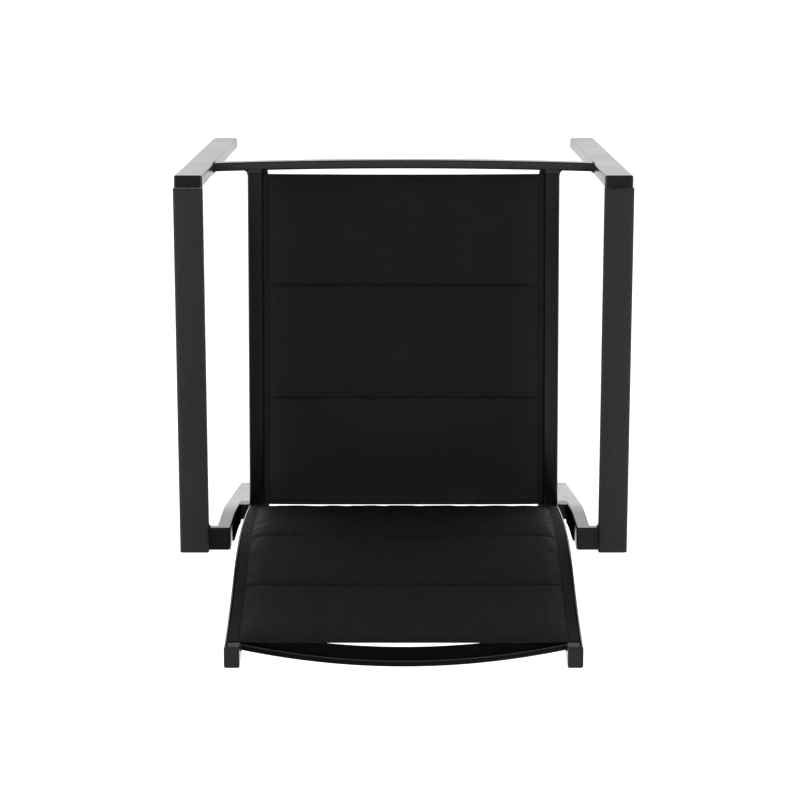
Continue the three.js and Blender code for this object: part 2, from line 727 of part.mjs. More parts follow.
const seatClothLength = rearBarPlace - SEAT_REAR_SLOT - seatClothStart;
const seatRows = clothRows(seatClothStart, seatClothLength, SEAT_SEAM_SHARES);
const backClothLength = backLength - BACK_LOWER_SLOT - BACK_UPPER_SLOT;
const backRows = clothRows(BACK_LOWER_SLOT, backClothLength, BACK_SEAM_SHARES);
const backPadHalf = backHalf - BACK_PAD_INSET;

// How far a padded cloth stands up at a place across it.
function padRise(x, padHalf, fullness) {
  const sideShare = Math.min(1, Math.abs(x) / padHalf);
  return PAD_RISE * fullness * (1 - sideShare ** PAD_SIDE_POWER);
}

// Free edges and their hems are drawn in at the middle.
function drawnIn(x, padHalf, rows, k) {
  const share = Math.max(0, 1 - (x / padHalf) ** 2);
  if (k <= 1) {
    return rows[k].place + EDGE_DRAW * share;
  }
  return k >= rows.length - 2 ? rows[k].place - EDGE_DRAW * share : rows[k].place;
}

// A back rail's section: a box with a channel in its front outer corner that opens forwards.
// X is measured from the outer face and Y from the front face.
function backRailSection() {
  const outer = -BACK_RAIL_OUTER_WALL;
  const inner = outer - CHAMBER;
  const floor = -RAIL_WALL - CHAMBER;
  const section = new Shape();
  section.moveTo(0, -RAIL_ROUND);
  section.absarc(-RAIL_ROUND, -RAIL_ROUND, RAIL_ROUND, 0, Math.PI / 2);
  section.lineTo(outer, 0);
  section.lineTo(outer, floor);
  section.lineTo(inner, floor);
  section.lineTo(inner, -RAIL_WALL);
  section.lineTo(outer - SLIT, -RAIL_WALL);
  section.lineTo(outer - SLIT, 0);
  section.lineTo(-BACK_RAIL_WIDTH, 0);
  section.lineTo(-BACK_RAIL_WIDTH, -BACK_RAIL_DEPTH);
  section.lineTo(-RAIL_ROUND, -BACK_RAIL_DEPTH);
  section.absarc(-RAIL_ROUND, RAIL_ROUND - BACK_RAIL_DEPTH, RAIL_ROUND, -Math.PI / 2, 0);
  section.holes.push(
    new Path([
      new Vector2(inner - RAIL_WALL, -RAIL_WALL),
      new Vector2(RAIL_WALL - BACK_RAIL_WIDTH, -RAIL_WALL),
      new Vector2(RAIL_WALL - BACK_RAIL_WIDTH, RAIL_WALL - BACK_RAIL_DEPTH),
      new Vector2(-RAIL_WALL, RAIL_WALL - BACK_RAIL_DEPTH),
      new Vector2(-RAIL_WALL, floor - RAIL_WALL),
      new Vector2(inner - RAIL_WALL, floor - RAIL_WALL),
    ]),
  );
  return section;
}

function backRail() {
  const climbs = [0, ...backRows.map((row) => row.place), backLength];
  return carried(backRailSection(), climbs.length - 1, (x, y, k) =>
    backPoint(backHalf + x, y, climbs[k]),
  );
}

// The cap sits on the rail's level top end, with a plug in the hollow beside the channel.
function backRailCap() {
  const [w, d] = [BACK_RAIL_WIDTH, BACK_RAIL_DEPTH];
  const lid = roundedBar(w, d, RAIL_ROUND);
  const heights = [0, BACK_CAP_THICKNESS - BACK_CAP_ROUND, BACK_CAP_THICKNESS];
  const lidPart = carried(lid, heights.length - 1, (x, y, k) => {
    const share = k === heights.length - 1 ? 1 - BACK_CAP_ROUND / w : 1;
    const point = backPoint(backHalf - w / 2 + x * share, y * share - d / 2, backLength);
    return point.addScaledVector(upwards, GAP + heights[k]);
  });
  const low = RAIL_WALL + PLAY / 2;
  const high = RAIL_WALL * 2 + CHAMBER + PLAY / 2;
  const stem = new Shape([
    new Vector2(low - w, low - d),
    new Vector2(-low, low - d),
    new Vector2(-low, -high),
    new Vector2(low - w, -high),
  ]);
  const stemPart = carried(stem, 2, (x, y, k) => {
    const point = backPoint(backHalf + x, y, k === 0 ? backLength - BACK_CAP_DEPTH : backLength);
    return k === 2 ? point.addScaledVector(upwards, GAP + BACK_CAP_THICKNESS / 2) : point;
  });
  return joined(lidPart, stemPart);
}

// The top bar lies between the back rails and leans with them.
function topCrossbar() {
  const half = backHalf - BACK_RAIL_WIDTH - GAP;
  const climb = backLength - TOP_BAR_DROP - TOP_BAR_HEIGHT / 2;
  const along = backLine.getTangentAt(climb / backLength);
  const lift = -TOP_BAR_RECESS - TOP_BAR_THICKNESS / 2;
  const section = tubeSection(TOP_BAR_THICKNESS, TOP_BAR_HEIGHT, TUBE_WALL, TOP_BAR_ROUND);
  const stations = acrossStations(half).map((x) => {
    const bow = TOP_BAR_BOW * (1 - (x / half) ** 2);
    return {
      at: backPoint(x, lift, climb).addScaledVector(backwards, bow),
      across: backForward(climb),
      up: along,
    };
  });
  const rise = along.clone().multiplyScalar(TOP_BAR_HEIGHT - 2 * TOP_BAR_ROUND);
  const bowSlope = (2 * TOP_BAR_BOW) / half;
  const weld = weldFillet(
    backPoint(half, lift - TOP_BAR_THICKNESS / 2, climb).addScaledVector(rise, -0.5),
    new Vector3(-1, bowSlope, 0).multiplyScalar(TOP_WELD_WIDTH),
    backForward(climb).multiplyScalar(-TOP_WELD_DEPTH),
    rise,
  );
  return [weld, mirrored(weld)].reduce(joined, alongStations(section, stations));
}

// One end of a padded cloth's outline, from its underside down into the channel, round the edge
// rod and back up to its top side. slitX is the outer side of the channel's slit.
function clothEnd(slitX) {
  const centre = new Vector2(slitX - CHAMBER / 2, -RAIL_WALL - CHAMBER / 2);
  const outer = loopRadius + CLOTH;
  const meet = Math.sqrt(outer ** 2 - loopRadius ** 2);
  const arc = Array.from({ length: 1.5 * LOOP_STEPS + 1 }, (_, i) => {
    const angle = (0.5 + i / LOOP_STEPS) * Math.PI;
    return centre.clone().add(new Vector2(Math.cos(angle), Math.sin(angle)).multiplyScalar(outer));
  });
  return [
    new Vector2(centre.x + loopRadius, GAP),
    new Vector2(centre.x + loopRadius, centre.y + meet),
    ...arc,
    new Vector2(centre.x + outer, GAP + CLOTH),
  ];
}

// The whole outline of a padded cloth, seen along the rails.
function clothSection(slitX, padHalf) {
  const halfShares = ACROSS_SHARES.map((share) => share * padHalf);
  const across = [...halfShares.map((x) => -x).reverse(), ...halfShares];
  const end = clothEnd(slitX);
  const section = new Shape([
    ...across.map((x) => new Vector2(x, GAP)),
    ...end,
    ...across.map((x) => new Vector2(x, GAP + CLOTH)).reverse(),
    ...end.map(({ x, y }) => new Vector2(-x, y)).reverse(),
  ]);
  const height = -RAIL_WALL - CHAMBER / 2;
  section.holes.push(disc(slitX - CHAMBER / 2, height, loopRadius));
  section.holes.push(disc(CHAMBER / 2 - slitX, height, loopRadius));
  return section;
}

const seatSlit = seatHalf - RAIL_WIDTH;
const backSlit = backHalf - BACK_RAIL_OUTER_WALL;

function topCloth(slitX, padHalf, rows, point) {
  const place = (x, y, k) => {
    const rise = y > 0 ? padRise(x, padHalf, rows[k].fullness) : 0;
    return point(x, y + rise, drawnIn(x, padHalf, rows, k));
  };
  return carried(clothSection(slitX, padHalf), rows.length - 1, place, LOOP_STEPS);
}

// The backing closes the padding from behind, between the rails.
function backingCloth(half, rows, point) {
  const section = new Shape([
    new Vector2(-half, -CLOTH),
    new Vector2(half, -CLOTH),
    new Vector2(half, 0),
    new Vector2(-half, 0),
  ]);
  return carried(section, rows.length - 1, (x, y, k) => point(x, y, rows[k].place));
}

// Foam fills each panel between the two cloths. It is carried from the last row to the first, so
// that its facets lie along those of the cloth over it.
function foamPanel(number, padHalf, rows, point) {
  const shares = ACROSS_SHARES.slice(0, -1).map((share) => share * padHalf);
  const across = [...shares.map((x) => -x).reverse(), ...shares];
  const section = new Shape([
    new Vector2(across[0], 0),
    new Vector2(across.at(-1), 0),
    ...across.map((x) => new Vector2(x, PAD_RISE)).reverse(),
  ]);
  const first = 1 + number * PANEL_SHARES.length;
  const inPanel = rows.slice(first + 1, first + PANEL_SHARES.length).reverse();
  return carried(section, inPanel.length - 1, (x, y, k) => {
    const { place, fullness } = inPanel[k];
    return point(x, y > 0 ? padRise(x, padHalf, fullness) : GAP, place);
  });
}

function edgeRod(slitX, rows, point) {
  const section = new Shape();
  section.absarc(slitX - CHAMBER / 2, -RAIL_WALL - CHAMBER / 2, ROD_RADIUS, 0, Math.PI * 2);
  const place = (x, y, k) => point(x, y, rows[k].place);
  return carried(section, rows.length - 1, place, LOOP_STEPS);
}

function named(name, geometry, finish) {
  const mesh = new Mesh(geometry, finish);
  mesh.name = name;
  return mesh;
}

// Pieces that come in pairs, one on each side.
const pairs = {
  front_leg: [frontLeg(), finishes.frame],
  arm_tube: [armTube(), finishes.frame],
  arm_pad: [armPad(), finishes.pad],
  arm_end_plug: [armPlug(), finishes.plastic],
  rear_leg: [rearLeg(), finishes.frame],
  rear_arm_stub: [rearArmStub(), finishes.frame],
  front_foot_glide: [frontFootGlide(), finishes.plastic],
  rear_foot_glide: [rearFootGlide(), finishes.plastic],
  seat_rail: [seatRail(), finishes.frame],
  seat_channel_plug: [seatChannelPlug(), finishes.plastic],
  seat_edge_rod: [edgeRod(seatSlit, [seatRows[0], seatRows.at(-1)], seatPoint), finishes.rod],
  back_rail: [backRail(), finishes.frame],
  back_rail_cap: [backRailCap(), finishes.plastic],
  back_edge_rod: [edgeRod(backSlit, backRows, backPoint), finishes.rod],
};
screwStarts().forEach((start, i) => {
  pairs[`arm_pad_screw_${i + 1}`] = [armPadScrew(start), finishes.steel];
});

const backingHalf = backHalf - BACK_RAIL_WIDTH - GAP;
const singles = {
  front_crossbar: [frontCrossbar(), finishes.frame],
  rear_crossbar: [rearCrossbar(), finishes.frame],
  top_crossbar: [topCrossbar(), finishes.frame],
  seat_sling_top: [topCloth(seatSlit, seatPadHalf, seatRows, seatPoint), finishes.cloth],
  seat_sling_backing: [backingCloth(seatPadHalf, seatRows, seatPoint), finishes.cloth],
  back_sling_top: [topCloth(backSlit, backPadHalf, backRows, backPoint), finishes.cloth],
  back_sling_backing: [backingCloth(backingHalf, backRows, backPoint), finishes.cloth],
};
["front", "middle", "rear"].forEach((name, i) => {
  singles[`seat_foam_${name}`] = [foamPanel(i, seatPadHalf, seatRows, seatPoint), finishes.foam];
});
["lower", "middle", "upper"].forEach((name, i) => {
  singles[`back_foam_${name}`] = [foamPanel(i, backPadHalf, backRows, backPoint), finishes.foam];
});

// The chair stands with the middle of its footprint at the origin.
const frame = new Group();
for (const [name, [left, finish]] of Object.entries(pairs)) {
  frame.add(named(`${name}_left`, left, finish));
  frame.add(named(`${name}_right`, mirrored(left), finish));
}
for (const [name, [geometry, finish]] of Object.entries(singles)) {
  frame.add(named(name, geometry, finish));
}
const reach = new Box3().setFromObject(frame);
frame.position.set(0, -(reach.min.y + reach.max.y) / 2, -reach.min.z);

const chair = new Group();
chair.add(frame);

export default chair;
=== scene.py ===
# %% [markdown]
# # A sling patio chair
# The chair has a welded frame of flat tube, and a padded seat and back of woven mesh that are
# stretched between extruded rails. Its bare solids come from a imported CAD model. This lesson
# dresses them: it rounds and welds the frame, sews and stuffs the two slings, and gives each
# surface its own finish. Everything is in metres, with the floor at Z = 0, the chair's front at
# low Y and the sitter's left at high X.

# %% Load the CAD model as a fixed frame
import math

import bmesh
import bpy
import numpy as np
from mathutils import Matrix, Vector, noise
from mathutils.bvhtree import BVHTree


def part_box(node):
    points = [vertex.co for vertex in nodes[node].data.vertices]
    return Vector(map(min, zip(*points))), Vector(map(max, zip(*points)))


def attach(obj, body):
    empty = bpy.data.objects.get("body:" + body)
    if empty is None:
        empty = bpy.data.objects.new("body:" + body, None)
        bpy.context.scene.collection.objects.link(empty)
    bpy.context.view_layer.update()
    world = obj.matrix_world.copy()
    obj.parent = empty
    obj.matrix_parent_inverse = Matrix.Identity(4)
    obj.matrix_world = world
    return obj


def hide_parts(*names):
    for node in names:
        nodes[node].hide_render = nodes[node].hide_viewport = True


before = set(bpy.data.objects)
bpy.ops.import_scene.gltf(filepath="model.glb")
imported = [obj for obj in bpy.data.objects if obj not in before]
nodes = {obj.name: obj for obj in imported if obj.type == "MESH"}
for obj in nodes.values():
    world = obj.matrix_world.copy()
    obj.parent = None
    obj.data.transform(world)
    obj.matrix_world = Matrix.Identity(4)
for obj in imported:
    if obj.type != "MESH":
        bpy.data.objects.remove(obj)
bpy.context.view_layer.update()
MM = 0.001

# %% [markdown]
# ## Camera
# The picture looks almost straight down on the chair, from high above its front legs, with the
# front at the top of the picture. A long lens keeps the arms nearly parallel. The camera's
# three directions are written as the columns of a matrix, because an angle of 80 degrees below
# the horizon with a turned-round picture is easy to get wrong with three rotations.

# %% The camera
PICTURE = 800  # pixels along each side
FOCAL = 2398.5  # focal length, in pixels
CENTRE_SHIFT = 3.6  # how far right of the picture's middle the chair's middle is, in pixels
TILT = math.radians(10.38)  # away from straight down
CAMERA_PLACE = Vector((0, -542.46 * MM, 3634 * MM))

camera_data = bpy.data.cameras.new("camera")
camera_data.lens = FOCAL * camera_data.sensor_width / PICTURE
camera_data.shift_x = -CENTRE_SHIFT / PICTURE
camera = bpy.data.objects.new("camera", camera_data)
bpy.context.scene.collection.objects.link(camera)
lean, drop = math.sin(TILT), math.cos(TILT)
right, above, towards = Vector((-1, 0, 0)), Vector((0, -drop, -lean)), Vector((0, -lean, drop))
turned = Matrix((right, above, towards)).transposed().to_4x4()
camera.matrix_world = Matrix.Translation(CAMERA_PLACE) @ turned
bpy.context.scene.camera = camera
print("lens:", round(camera_data.lens, 2), "mm")

# %% [markdown]
# ## Shader sums
# A finish is a small calculation over the surface. One class wraps a socket, so that a sum of
# patterns can be written as a Python expression, and each operator adds its Math node. Any
# other node comes from one method, which sets the node up first and then fills its sockets.


# %% Sockets that can be added and multiplied
class Pattern:
    """A socket of a recipe's nodes, on which sums can be done."""

    def __init__(self, recipe, socket):
        self.recipe, self.socket = recipe, socket

    def sum_of(self, operation, *values):
        settings = {"operation": operation}
        return self.recipe.node("ShaderNodeMath", settings, dict(enumerate(values)))

    def __add__(self, other):
        return self.sum_of("ADD", self, other)

    def __sub__(self, other):
        return self.sum_of("SUBTRACT", self, other)

    def __rsub__(self, other):
        return self.sum_of("SUBTRACT", other, self)

    def __mul__(self, other):
        return self.sum_of("MULTIPLY", self, other)

    def __pow__(self, power):
        return self.sum_of("POWER", self, power)

    __radd__, __rmul__ = __add__, __mul__

    def sine(self):
        return self.sum_of("SINE", self)

    def floor(self):
        return self.sum_of("FLOOR", self)

    def rest_of(self, divisor):
        return self.sum_of("FLOORED_MODULO", self, divisor)

    def size(self):
        return self.sum_of("ABSOLUTE", self)

    def part(self, axis):
        """The X, Y or Z of a place."""
        return self.recipe.node("ShaderNodeSeparateXYZ", {}, {0: self}, output=axis)

    def between(self, low, high):
        """0 at low, 1 at high, and a straight line between them."""
        values = {"Value": self, "From Min": low, "From Max": high}
        return self.recipe.node("ShaderNodeMapRange", {"clamp": True}, values)


class Recipe:
    """A tree of shader nodes in the making."""

    def __init__(self, tree):
        self.tree = tree

    def node(self, kind, settings=None, values=None, output=0):
        made = self.tree.nodes.new(kind)
        for key, value in (settings or {}).items():
            setattr(made, key, value)
        for key, value in (values or {}).items():
            self.fill(made.inputs[key], value)
        return Pattern(self, made.outputs[output])

    def fill(self, socket, value):
        if isinstance(value, Pattern):
            self.tree.links.new(value.socket, socket)
        else:
            socket.default_value = value

    def colours(self, share, low, high):
        """The colour low where share is 0, and high where it is 1."""
        low, high = (c if isinstance(c, Pattern) else (*c, 1) for c in (low, high))
        values = {0: share, 6: low, 7: high}
        return self.node("ShaderNodeMix", {"data_type": "RGBA"}, values, output=2)


class Finish(Recipe):
    """A material in the making, which keeps the name of one of the part's slots."""

    def __init__(self, name, slot=None, **constants):
        self.material = bpy.data.materials.new(name)
        self.material.use_nodes = True
        super().__init__(self.material.node_tree)
        self.slot, self.shader = slot, self.tree.nodes["Principled BSDF"]
        for socket, value in constants.items():
            self.feed(socket.replace("_", " "), value)

    def feed(self, socket, value):
        self.fill(self.shader.inputs[socket], value)

    def places(self, stretch=(1, 1, 1)):
        """Points of the piece, in metres times stretch."""
        start = self.node("ShaderNodeTexCoord", output="Object")
        return self.node("ShaderNodeVectorMath", {"operation": "MULTIPLY"}, {0: start, 1: stretch})

    def cloud(self, places, scale, detail=2, roughness=0.5):
        """Soft noise between 0 and 1, with scale patches to a metre."""
        values = {"Vector": places, "Scale": scale, "Detail": detail, "Roughness": roughness}
        return self.node("ShaderNodeTexNoise", {}, values)

    def relief(self, height, depth):
        """Feeds Normal with a surface that rises by depth metres where height is 1."""
        bumps = self.node("ShaderNodeBump", {}, {"Height": height, "Distance": depth})
        self.feed("Normal", bumps)


# %% [markdown]
# ## Light and floor
# The chair is photographed on a bright white floor, lit softly. Satin black paint shows almost
# nothing of its own colour: it mirrors its surroundings. So the floor glows white, which gives
# the pale faces that are seen at a grazing angle. The room itself is dim, which keeps the
# upward faces and the back black, and only the camera sees it as white paper. A large soft lamp
# above the front edge gives the bars and corners there their grey sheen. Two at the sides do
# the same for the flanks of the legs and rails, and two weak ones for the top bar and the rear.

# %% The room
HORIZON_LIGHT, CEILING_LIGHT, PAPER = (0.08, 0.079, 0.078), (0.07, 0.07, 0.072), (1.1, 1.1, 1.1)
scene = bpy.context.scene
scene.view_settings.view_transform = "Standard"
scene.world = bpy.data.worlds.new("studio")
scene.world.use_nodes = True
room = Recipe(scene.world.node_tree)
way_up = room.node("ShaderNodeTexCoord", output="Generated").part("Z")
light = room.colours(way_up, HORIZON_LIGHT, CEILING_LIGHT)
camera_ray = room.node("ShaderNodeLightPath", output="Is Camera Ray")
room.fill(room.tree.nodes["Background"].inputs["Color"], room.colours(camera_ray, light, PAPER))

# %% The floor
FLOOR_REACH = 40  # metres from the middle to each edge
BRIGHT_TO, DIM_FROM = 0.88, 2  # metres from the middle
NEAR_GLOW, FAR_GLOW = (1, 0.975, 0.97), (0.38, 0.38, 0.38)


def in_scene(name, mesh, finish):
    """Turns a bmesh into an object of the scene."""
    data = bpy.data.meshes.new(name)
    mesh.to_mesh(data)
    mesh.free()
    data.materials.append(finish.material)
    made = bpy.data.objects.new(name, data)
    scene.collection.objects.link(made)
    return made


pale = Finish("pale_floor", Base_Color=(0.6, 0.6, 0.6, 1), Roughness=0.8, Emission_Strength=1.08)
how_far = pale.node("ShaderNodeVectorMath", {"operation": "LENGTH"}, {0: pale.places()}, "Value")
dimming = how_far.between(BRIGHT_TO, DIM_FROM)
pale.feed("Emission Color", pale.colours(dimming, NEAR_GLOW, FAR_GLOW))
floor_mesh = bmesh.new()
bmesh.ops.create_grid(floor_mesh, x_segments=1, y_segments=1, size=FLOOR_REACH)
floor = in_scene("floor", floor_mesh, pale)


# %% The lamps
def soft_lamp(name, place, aim, size, power):
    """A square soft lamp at place, turned to aim."""
    data = bpy.data.lights.new(name, "AREA")
    data.size, data.energy = size, power
    lamp = bpy.data.objects.new(name, data)
    scene.collection.objects.link(lamp)
    lamp.location = place
    lamp.rotation_euler = (Vector(aim) - Vector(place)).to_track_quat("-Z", "Y").to_euler()


soft_lamp("front_top_lamp", (0, -0.75, 4.6), (0, -0.4, 0.5), 1.9, 16)
soft_lamp("left_lamp", (2.6, 0.3, 2.6), (0, 0, 0.5), 2, 46)
soft_lamp("right_lamp", (-2.6, 0.4, 2.6), (0, 0, 0.5), 2, 38)
soft_lamp("rear_top_lamp", (-0.25, 1.5, 4.6), (0, 0.4, 0.5), 1, 2.6)
soft_lamp("rear_lamp", (-1.2, 2.6, 1.8), (0, 0, 0.5), 1.6, 15)
print("lamps:", len(bpy.data.lights))

# %% [markdown]
# ## Powder coat
# The frame's powder coat is satin black. Close up such a coat is not smooth: it has a fine
# orange peel about a millimetre across, its gloss varies a little, and here and there it is
# scuffed. Noise that is read in the piece's own metres needs no unwrapping, and keeps its size
# from one tube to the next.

# %% Powder coat
PAINT_BLACK, PAINT_SCUFFED = (0.0024, 0.0024, 0.0025), (0.0062, 0.006, 0.0057)
paint = Finish("frame_paint", "frame_paint", Roughness=0.3, Specular_IOR_Level=0.5)
spots = paint.places()
haze = paint.cloud(spots, 9, detail=3)
peel = paint.cloud(spots, 850, detail=1)
scuffs = paint.cloud(paint.places((1, 1, 0.3)), 300, detail=5, roughness=0.8).between(0.63, 0.74)
paint.feed("Base Color", paint.colours(0.7 * haze + 0.8 * scuffs, PAINT_BLACK, PAINT_SCUFFED))
paint.feed("Roughness", 0.17 + 0.1 * haze + 0.05 * peel + 0.08 * scuffs)
paint.relief(peel, 0.02 * MM)

# %% [markdown]
# ## Planks
# The arms' planks are moulded with a faint grain that runs along them. Noise that is stretched
# along a plank gives the streaks, a slow waver bends them, and less stretched noise breaks them
# up. A ragged pale line at the rough-cut front end is a painted highlight, where that end catches
# the light, mostly on the left arm.

# %% Grain of the planks
GRAIN_DARK, GRAIN_LIGHT = (0.0105, 0.0095, 0.0104), (0.0285, 0.0262, 0.0278)
SAWN_END_HIGHLIGHT, SAWN_REACH, SAWN_START, SAWN_FADE = (0.42, 0.4, 0.4), 3 * MM, 0.4 * MM, 0.5 * MM
WAVER_WIDTH = 6 * MM
plank = Finish("arm_plank", "arm_pad", Roughness=0.5)
waver = plank.cloud(plank.places((0.4, 1, 0.4)), 34)
bent = {0: waver, 1: (WAVER_WIDTH, 0, 0), 2: plank.places((1, 0.07, 1))}
wavy = plank.node("ShaderNodeVectorMath", {"operation": "MULTIPLY_ADD"}, bent)
streaks = plank.cloud(wavy, 620, detail=4, roughness=0.65)
bands = plank.cloud(wavy, 130, detail=3, roughness=0.6)
mottle = plank.cloud(plank.places((1, 0.6, 1)), 480, detail=4, roughness=0.8)
grain = (0.28 * streaks + 0.2 * bands + 0.52 * mottle).between(0.34, 0.68)
# Painted highlight: a ragged pale line along each plank's rough-cut front end, where it catches
# the light, made stronger on the left arm.
ragged = plank.cloud(plank.places((1, 0.2, 1)), 330, detail=4, roughness=0.8)
saw_line = ragged * SAWN_REACH + (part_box("arm_pad_left")[0].y - SAWN_START)
sawn_end_highlight = (saw_line - plank.places().part("Y")).between(0, SAWN_FADE)
on_left = plank.places().part("X").between(-0.1, 0.1)
grained = plank.colours(grain, GRAIN_DARK, GRAIN_LIGHT)
plank.feed("Base Color", plank.colours(sawn_end_highlight * (0.25 + 0.75 * on_left), grained, SAWN_END_HIGHLIGHT))
plank.feed("Roughness", 0.6 - 0.14 * grain)
plank.relief(grain, 0.08 * MM)

# %% [markdown]
# ## Woven mesh
# The slings are a basket weave of coated yarn: on a chequerboard of small squares, two yarns
# pass side by side, across on one square and along on the next. The pattern has to follow the
# cloth, so it reads the cloth's own UV map, in metres. The weave's height gives its tone too,
# because the gaps between the yarns are dark. The attribute is 1 on the margins, where the
# cloth is stretched over nothing and looks darker. It is more on the seams, the pad's sides and
# in the slits, where the cloth is squeezed flat, and there it is mostly painted shade, for the
# grooves and slits that little light reaches.

# %% Basket weave
CELL = 2.2 * MM
MESH_GAPS, MESH_YARN = (0.004, 0.004, 0.0043), (0.0345, 0.0349, 0.036)
MARGIN_AND_SHADE_DARKER = 0.22
cloth = Finish("sling_mesh", "sling_cloth", Roughness=0.6, Specular_IOR_Level=0.1)
flat_places = cloth.node("ShaderNodeUVMap", {"uv_map": "cloth"})
across_cloth, along_cloth = (flat_places.part(axis) * (1 / CELL) for axis in "XY")
over = (across_cloth.floor() + along_cloth.floor()).rest_of(2)
arch_across, arch_along = ((c * math.pi).sine().size() ** 0.5 for c in (across_cloth, along_cloth))
pair_across, pair_along = (
    (c * (2 * math.pi)).sine().size() ** 0.6 for c in (across_cloth, along_cloth)
)
weave = over * pair_across * arch_along + (1 - over) * pair_along * arch_across
fading = cloth.cloud(flat_places, 14, detail=3)
slubs = cloth.cloud(flat_places, 700, detail=1)
# Painted shade: this attribute darkens the margins' own tone, and much more the seams, the pad's
# sides and the slits, where it paints the shade of the grooves.
margin_and_shade_value = cloth.node("ShaderNodeAttribute", {"attribute_name": "margin_tone_and_seam_shade"}, output="Fac")
tone = weave * (0.7 + 0.3 * slubs) * (0.75 + 0.5 * fading) * (1 - MARGIN_AND_SHADE_DARKER * margin_and_shade_value)
cloth.feed("Base Color", cloth.colours(tone, MESH_GAPS, MESH_YARN))
cloth.feed("Roughness", 0.75 - 0.22 * weave)
cloth.relief(weave, 0.22 * MM)

# %% [markdown]
# ## Small parts
# The thread, the black caps, the black strips that stand in for shade on the rear legs and the
# rods each have one colour and a fine grain. One noise can do both, as specks of a paler tone
# that also stand out a little, so they share a function. The moulded trim is cloudier and its
# gloss varies, and the screws are zinc.


# %% Thread, trim, shade strips, rods and zinc
def speckled(name, slot, low, high, depth, scale, detail=2, stretch=(1, 1, 1), **constants):
    """A finish whose tone and relief both follow one fine cloud."""
    finish = Finish(name, slot, **constants)
    specks = finish.cloud(finish.places(stretch), scale, detail)
    finish.feed("Base Color", finish.colours(specks, low, high))
    finish.relief(specks, depth)
    return finish


thread = speckled(
    "thread", "sling_cloth", (0.0015, 0.0015, 0.0015), (0.007, 0.007, 0.0072), 0.06 * MM,
    scale=2600, detail=1, Roughness=0.85, Specular_IOR_Level=0.08,
)
black_trim = speckled(
    "black_trim", "trim_plastic", (0.0012, 0.0012, 0.0012), (0.004, 0.004, 0.004), 0.04 * MM,
    scale=1500, Roughness=0.55, Specular_IOR_Level=0.2,
)
# Painted shade: a matt black without gloss, for the strips that stand in for the shade on the rear
# legs' inner faces.
shade_strip_finish = speckled(
    "black_shade_strip", "trim_plastic", (0.0015, 0.0015, 0.0014), (0.0065, 0.0065, 0.006), 0.15 * MM,
    scale=700, detail=3, stretch=(1, 1, 0.5), Roughness=0.9, Specular_IOR_Level=0,
)
rod = speckled(
    "edge_rod", "edge_rod", (0.018, 0.018, 0.018), (0.03, 0.03, 0.03), 0.03 * MM,
    scale=900, stretch=(1, 0.05, 1), Roughness=0.4,
)

trim = Finish("trim_plastic", "trim_plastic", Roughness=0.5)
pores = trim.cloud(trim.places(), 1900)
flow = trim.cloud(trim.places((1, 1, 0.3)), 40)
trim.feed("Base Color", trim.colours(flow, (0.0108, 0.0104, 0.0096), (0.0175, 0.0169, 0.0158)))
trim.feed("Roughness", 0.46 + 0.16 * pores)
trim.relief(pores, 0.05 * MM)

zinc = Finish("screw_steel", "screw_steel", Metallic=1, Roughness=0.35)
scratches = zinc.cloud(zinc.places((1, 4, 1)), 1500, detail=3)
zinc.feed("Base Color", zinc.colours(scratches, (0.34, 0.34, 0.35), (0.6, 0.6, 0.61)))
zinc.feed("Roughness", 0.25 + 0.2 * scratches)
print("finishes:", ", ".join(material.name for material in bpy.data.materials))

# %% [markdown]
# ## Turning meshes into pieces
# Each piece starts as a bmesh and ends as an object that stands for the CAD nodes it covers.
# A bevel that looks only at sharp edges takes the knife edge off, and weighted normals keep the
# flat faces flat in the light. A piece that CAD shapes well enough starts as a copy of its node,
# whose loose triangles are joined first and whose flat faces are made whole.

# %% From a bmesh to a piece
SIDES = "left", "right"
SHARP, FLAT = math.radians(30), math.radians(0.3)  # angles of edges to soften, and to drop
SOFT_EDGE, FINE_EDGE, SOFT_STEPS = 0.4 * MM, 0.3 * MM, 3
EVEN_WEIGHT = 60  # how much more a large face counts than a small one
JOIN_WITHIN = 0.005 * MM


def shown_piece(name, mesh, finish, replaced=(), soften=None):
    """Makes a piece of the chair from a bmesh: smooth, softened along its edges, and riding."""
    piece = in_scene(name, mesh, finish)
    piece.data.shade_smooth()
    if soften:
        edges = piece.modifiers.new("softened_edges", "BEVEL")
        edges.width, edges.segments = soften, SOFT_STEPS
        edges.limit_method, edges.angle_limit = "ANGLE", SHARP
        even = piece.modifiers.new("even_shading", "WEIGHTED_NORMAL")
        even.weight = EVEN_WEIGHT
    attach(piece, "root")
    if replaced:
        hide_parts(*replaced)
    print(name, "faces:", len(piece.data.polygons))
    return piece


def twin_of(node):
    """A copy of a CAD node's mesh, with its triangles joined and its flat faces made whole."""
    mesh = bmesh.new()
    mesh.from_mesh(nodes[node].data)
    bmesh.ops.remove_doubles(mesh, verts=mesh.verts, dist=JOIN_WITHIN)
    bmesh.ops.dissolve_limit(mesh, angle_limit=FLAT, verts=mesh.verts, edges=mesh.edges)
    return mesh


def other_side(mesh):
    """The same mesh on the chair's other side."""
    twin = mesh.copy()
    bmesh.ops.scale(twin, vec=(-1, 1, 1), verts=twin.verts)
    bmesh.ops.reverse_faces(twin, faces=twin.faces)
    return twin


def both_sides(name, mesh, finish, replaced=(), soften=None):
    """Shows a left-hand piece and its right-hand twin."""
    for side, mesh in (("right", other_side(mesh)), ("left", mesh)):
        covered = [f"{node}_{side}" for node in replaced]
        shown_piece(f"{name}_{side}", mesh, finish, covered, soften)


# %% [markdown]
# ## Tubes
# A welded tube frame could be modelled as boxes with bevelled edges, but a bent or bowed tube
# would crease. Instead an outline is drawn once, as a square whose corners are bevelled, and
# spun without turning, so that it is carried through evenly numbered stations. Then each ring
# is moved to its own station on the chair: a centre, and the directions of the two sides.

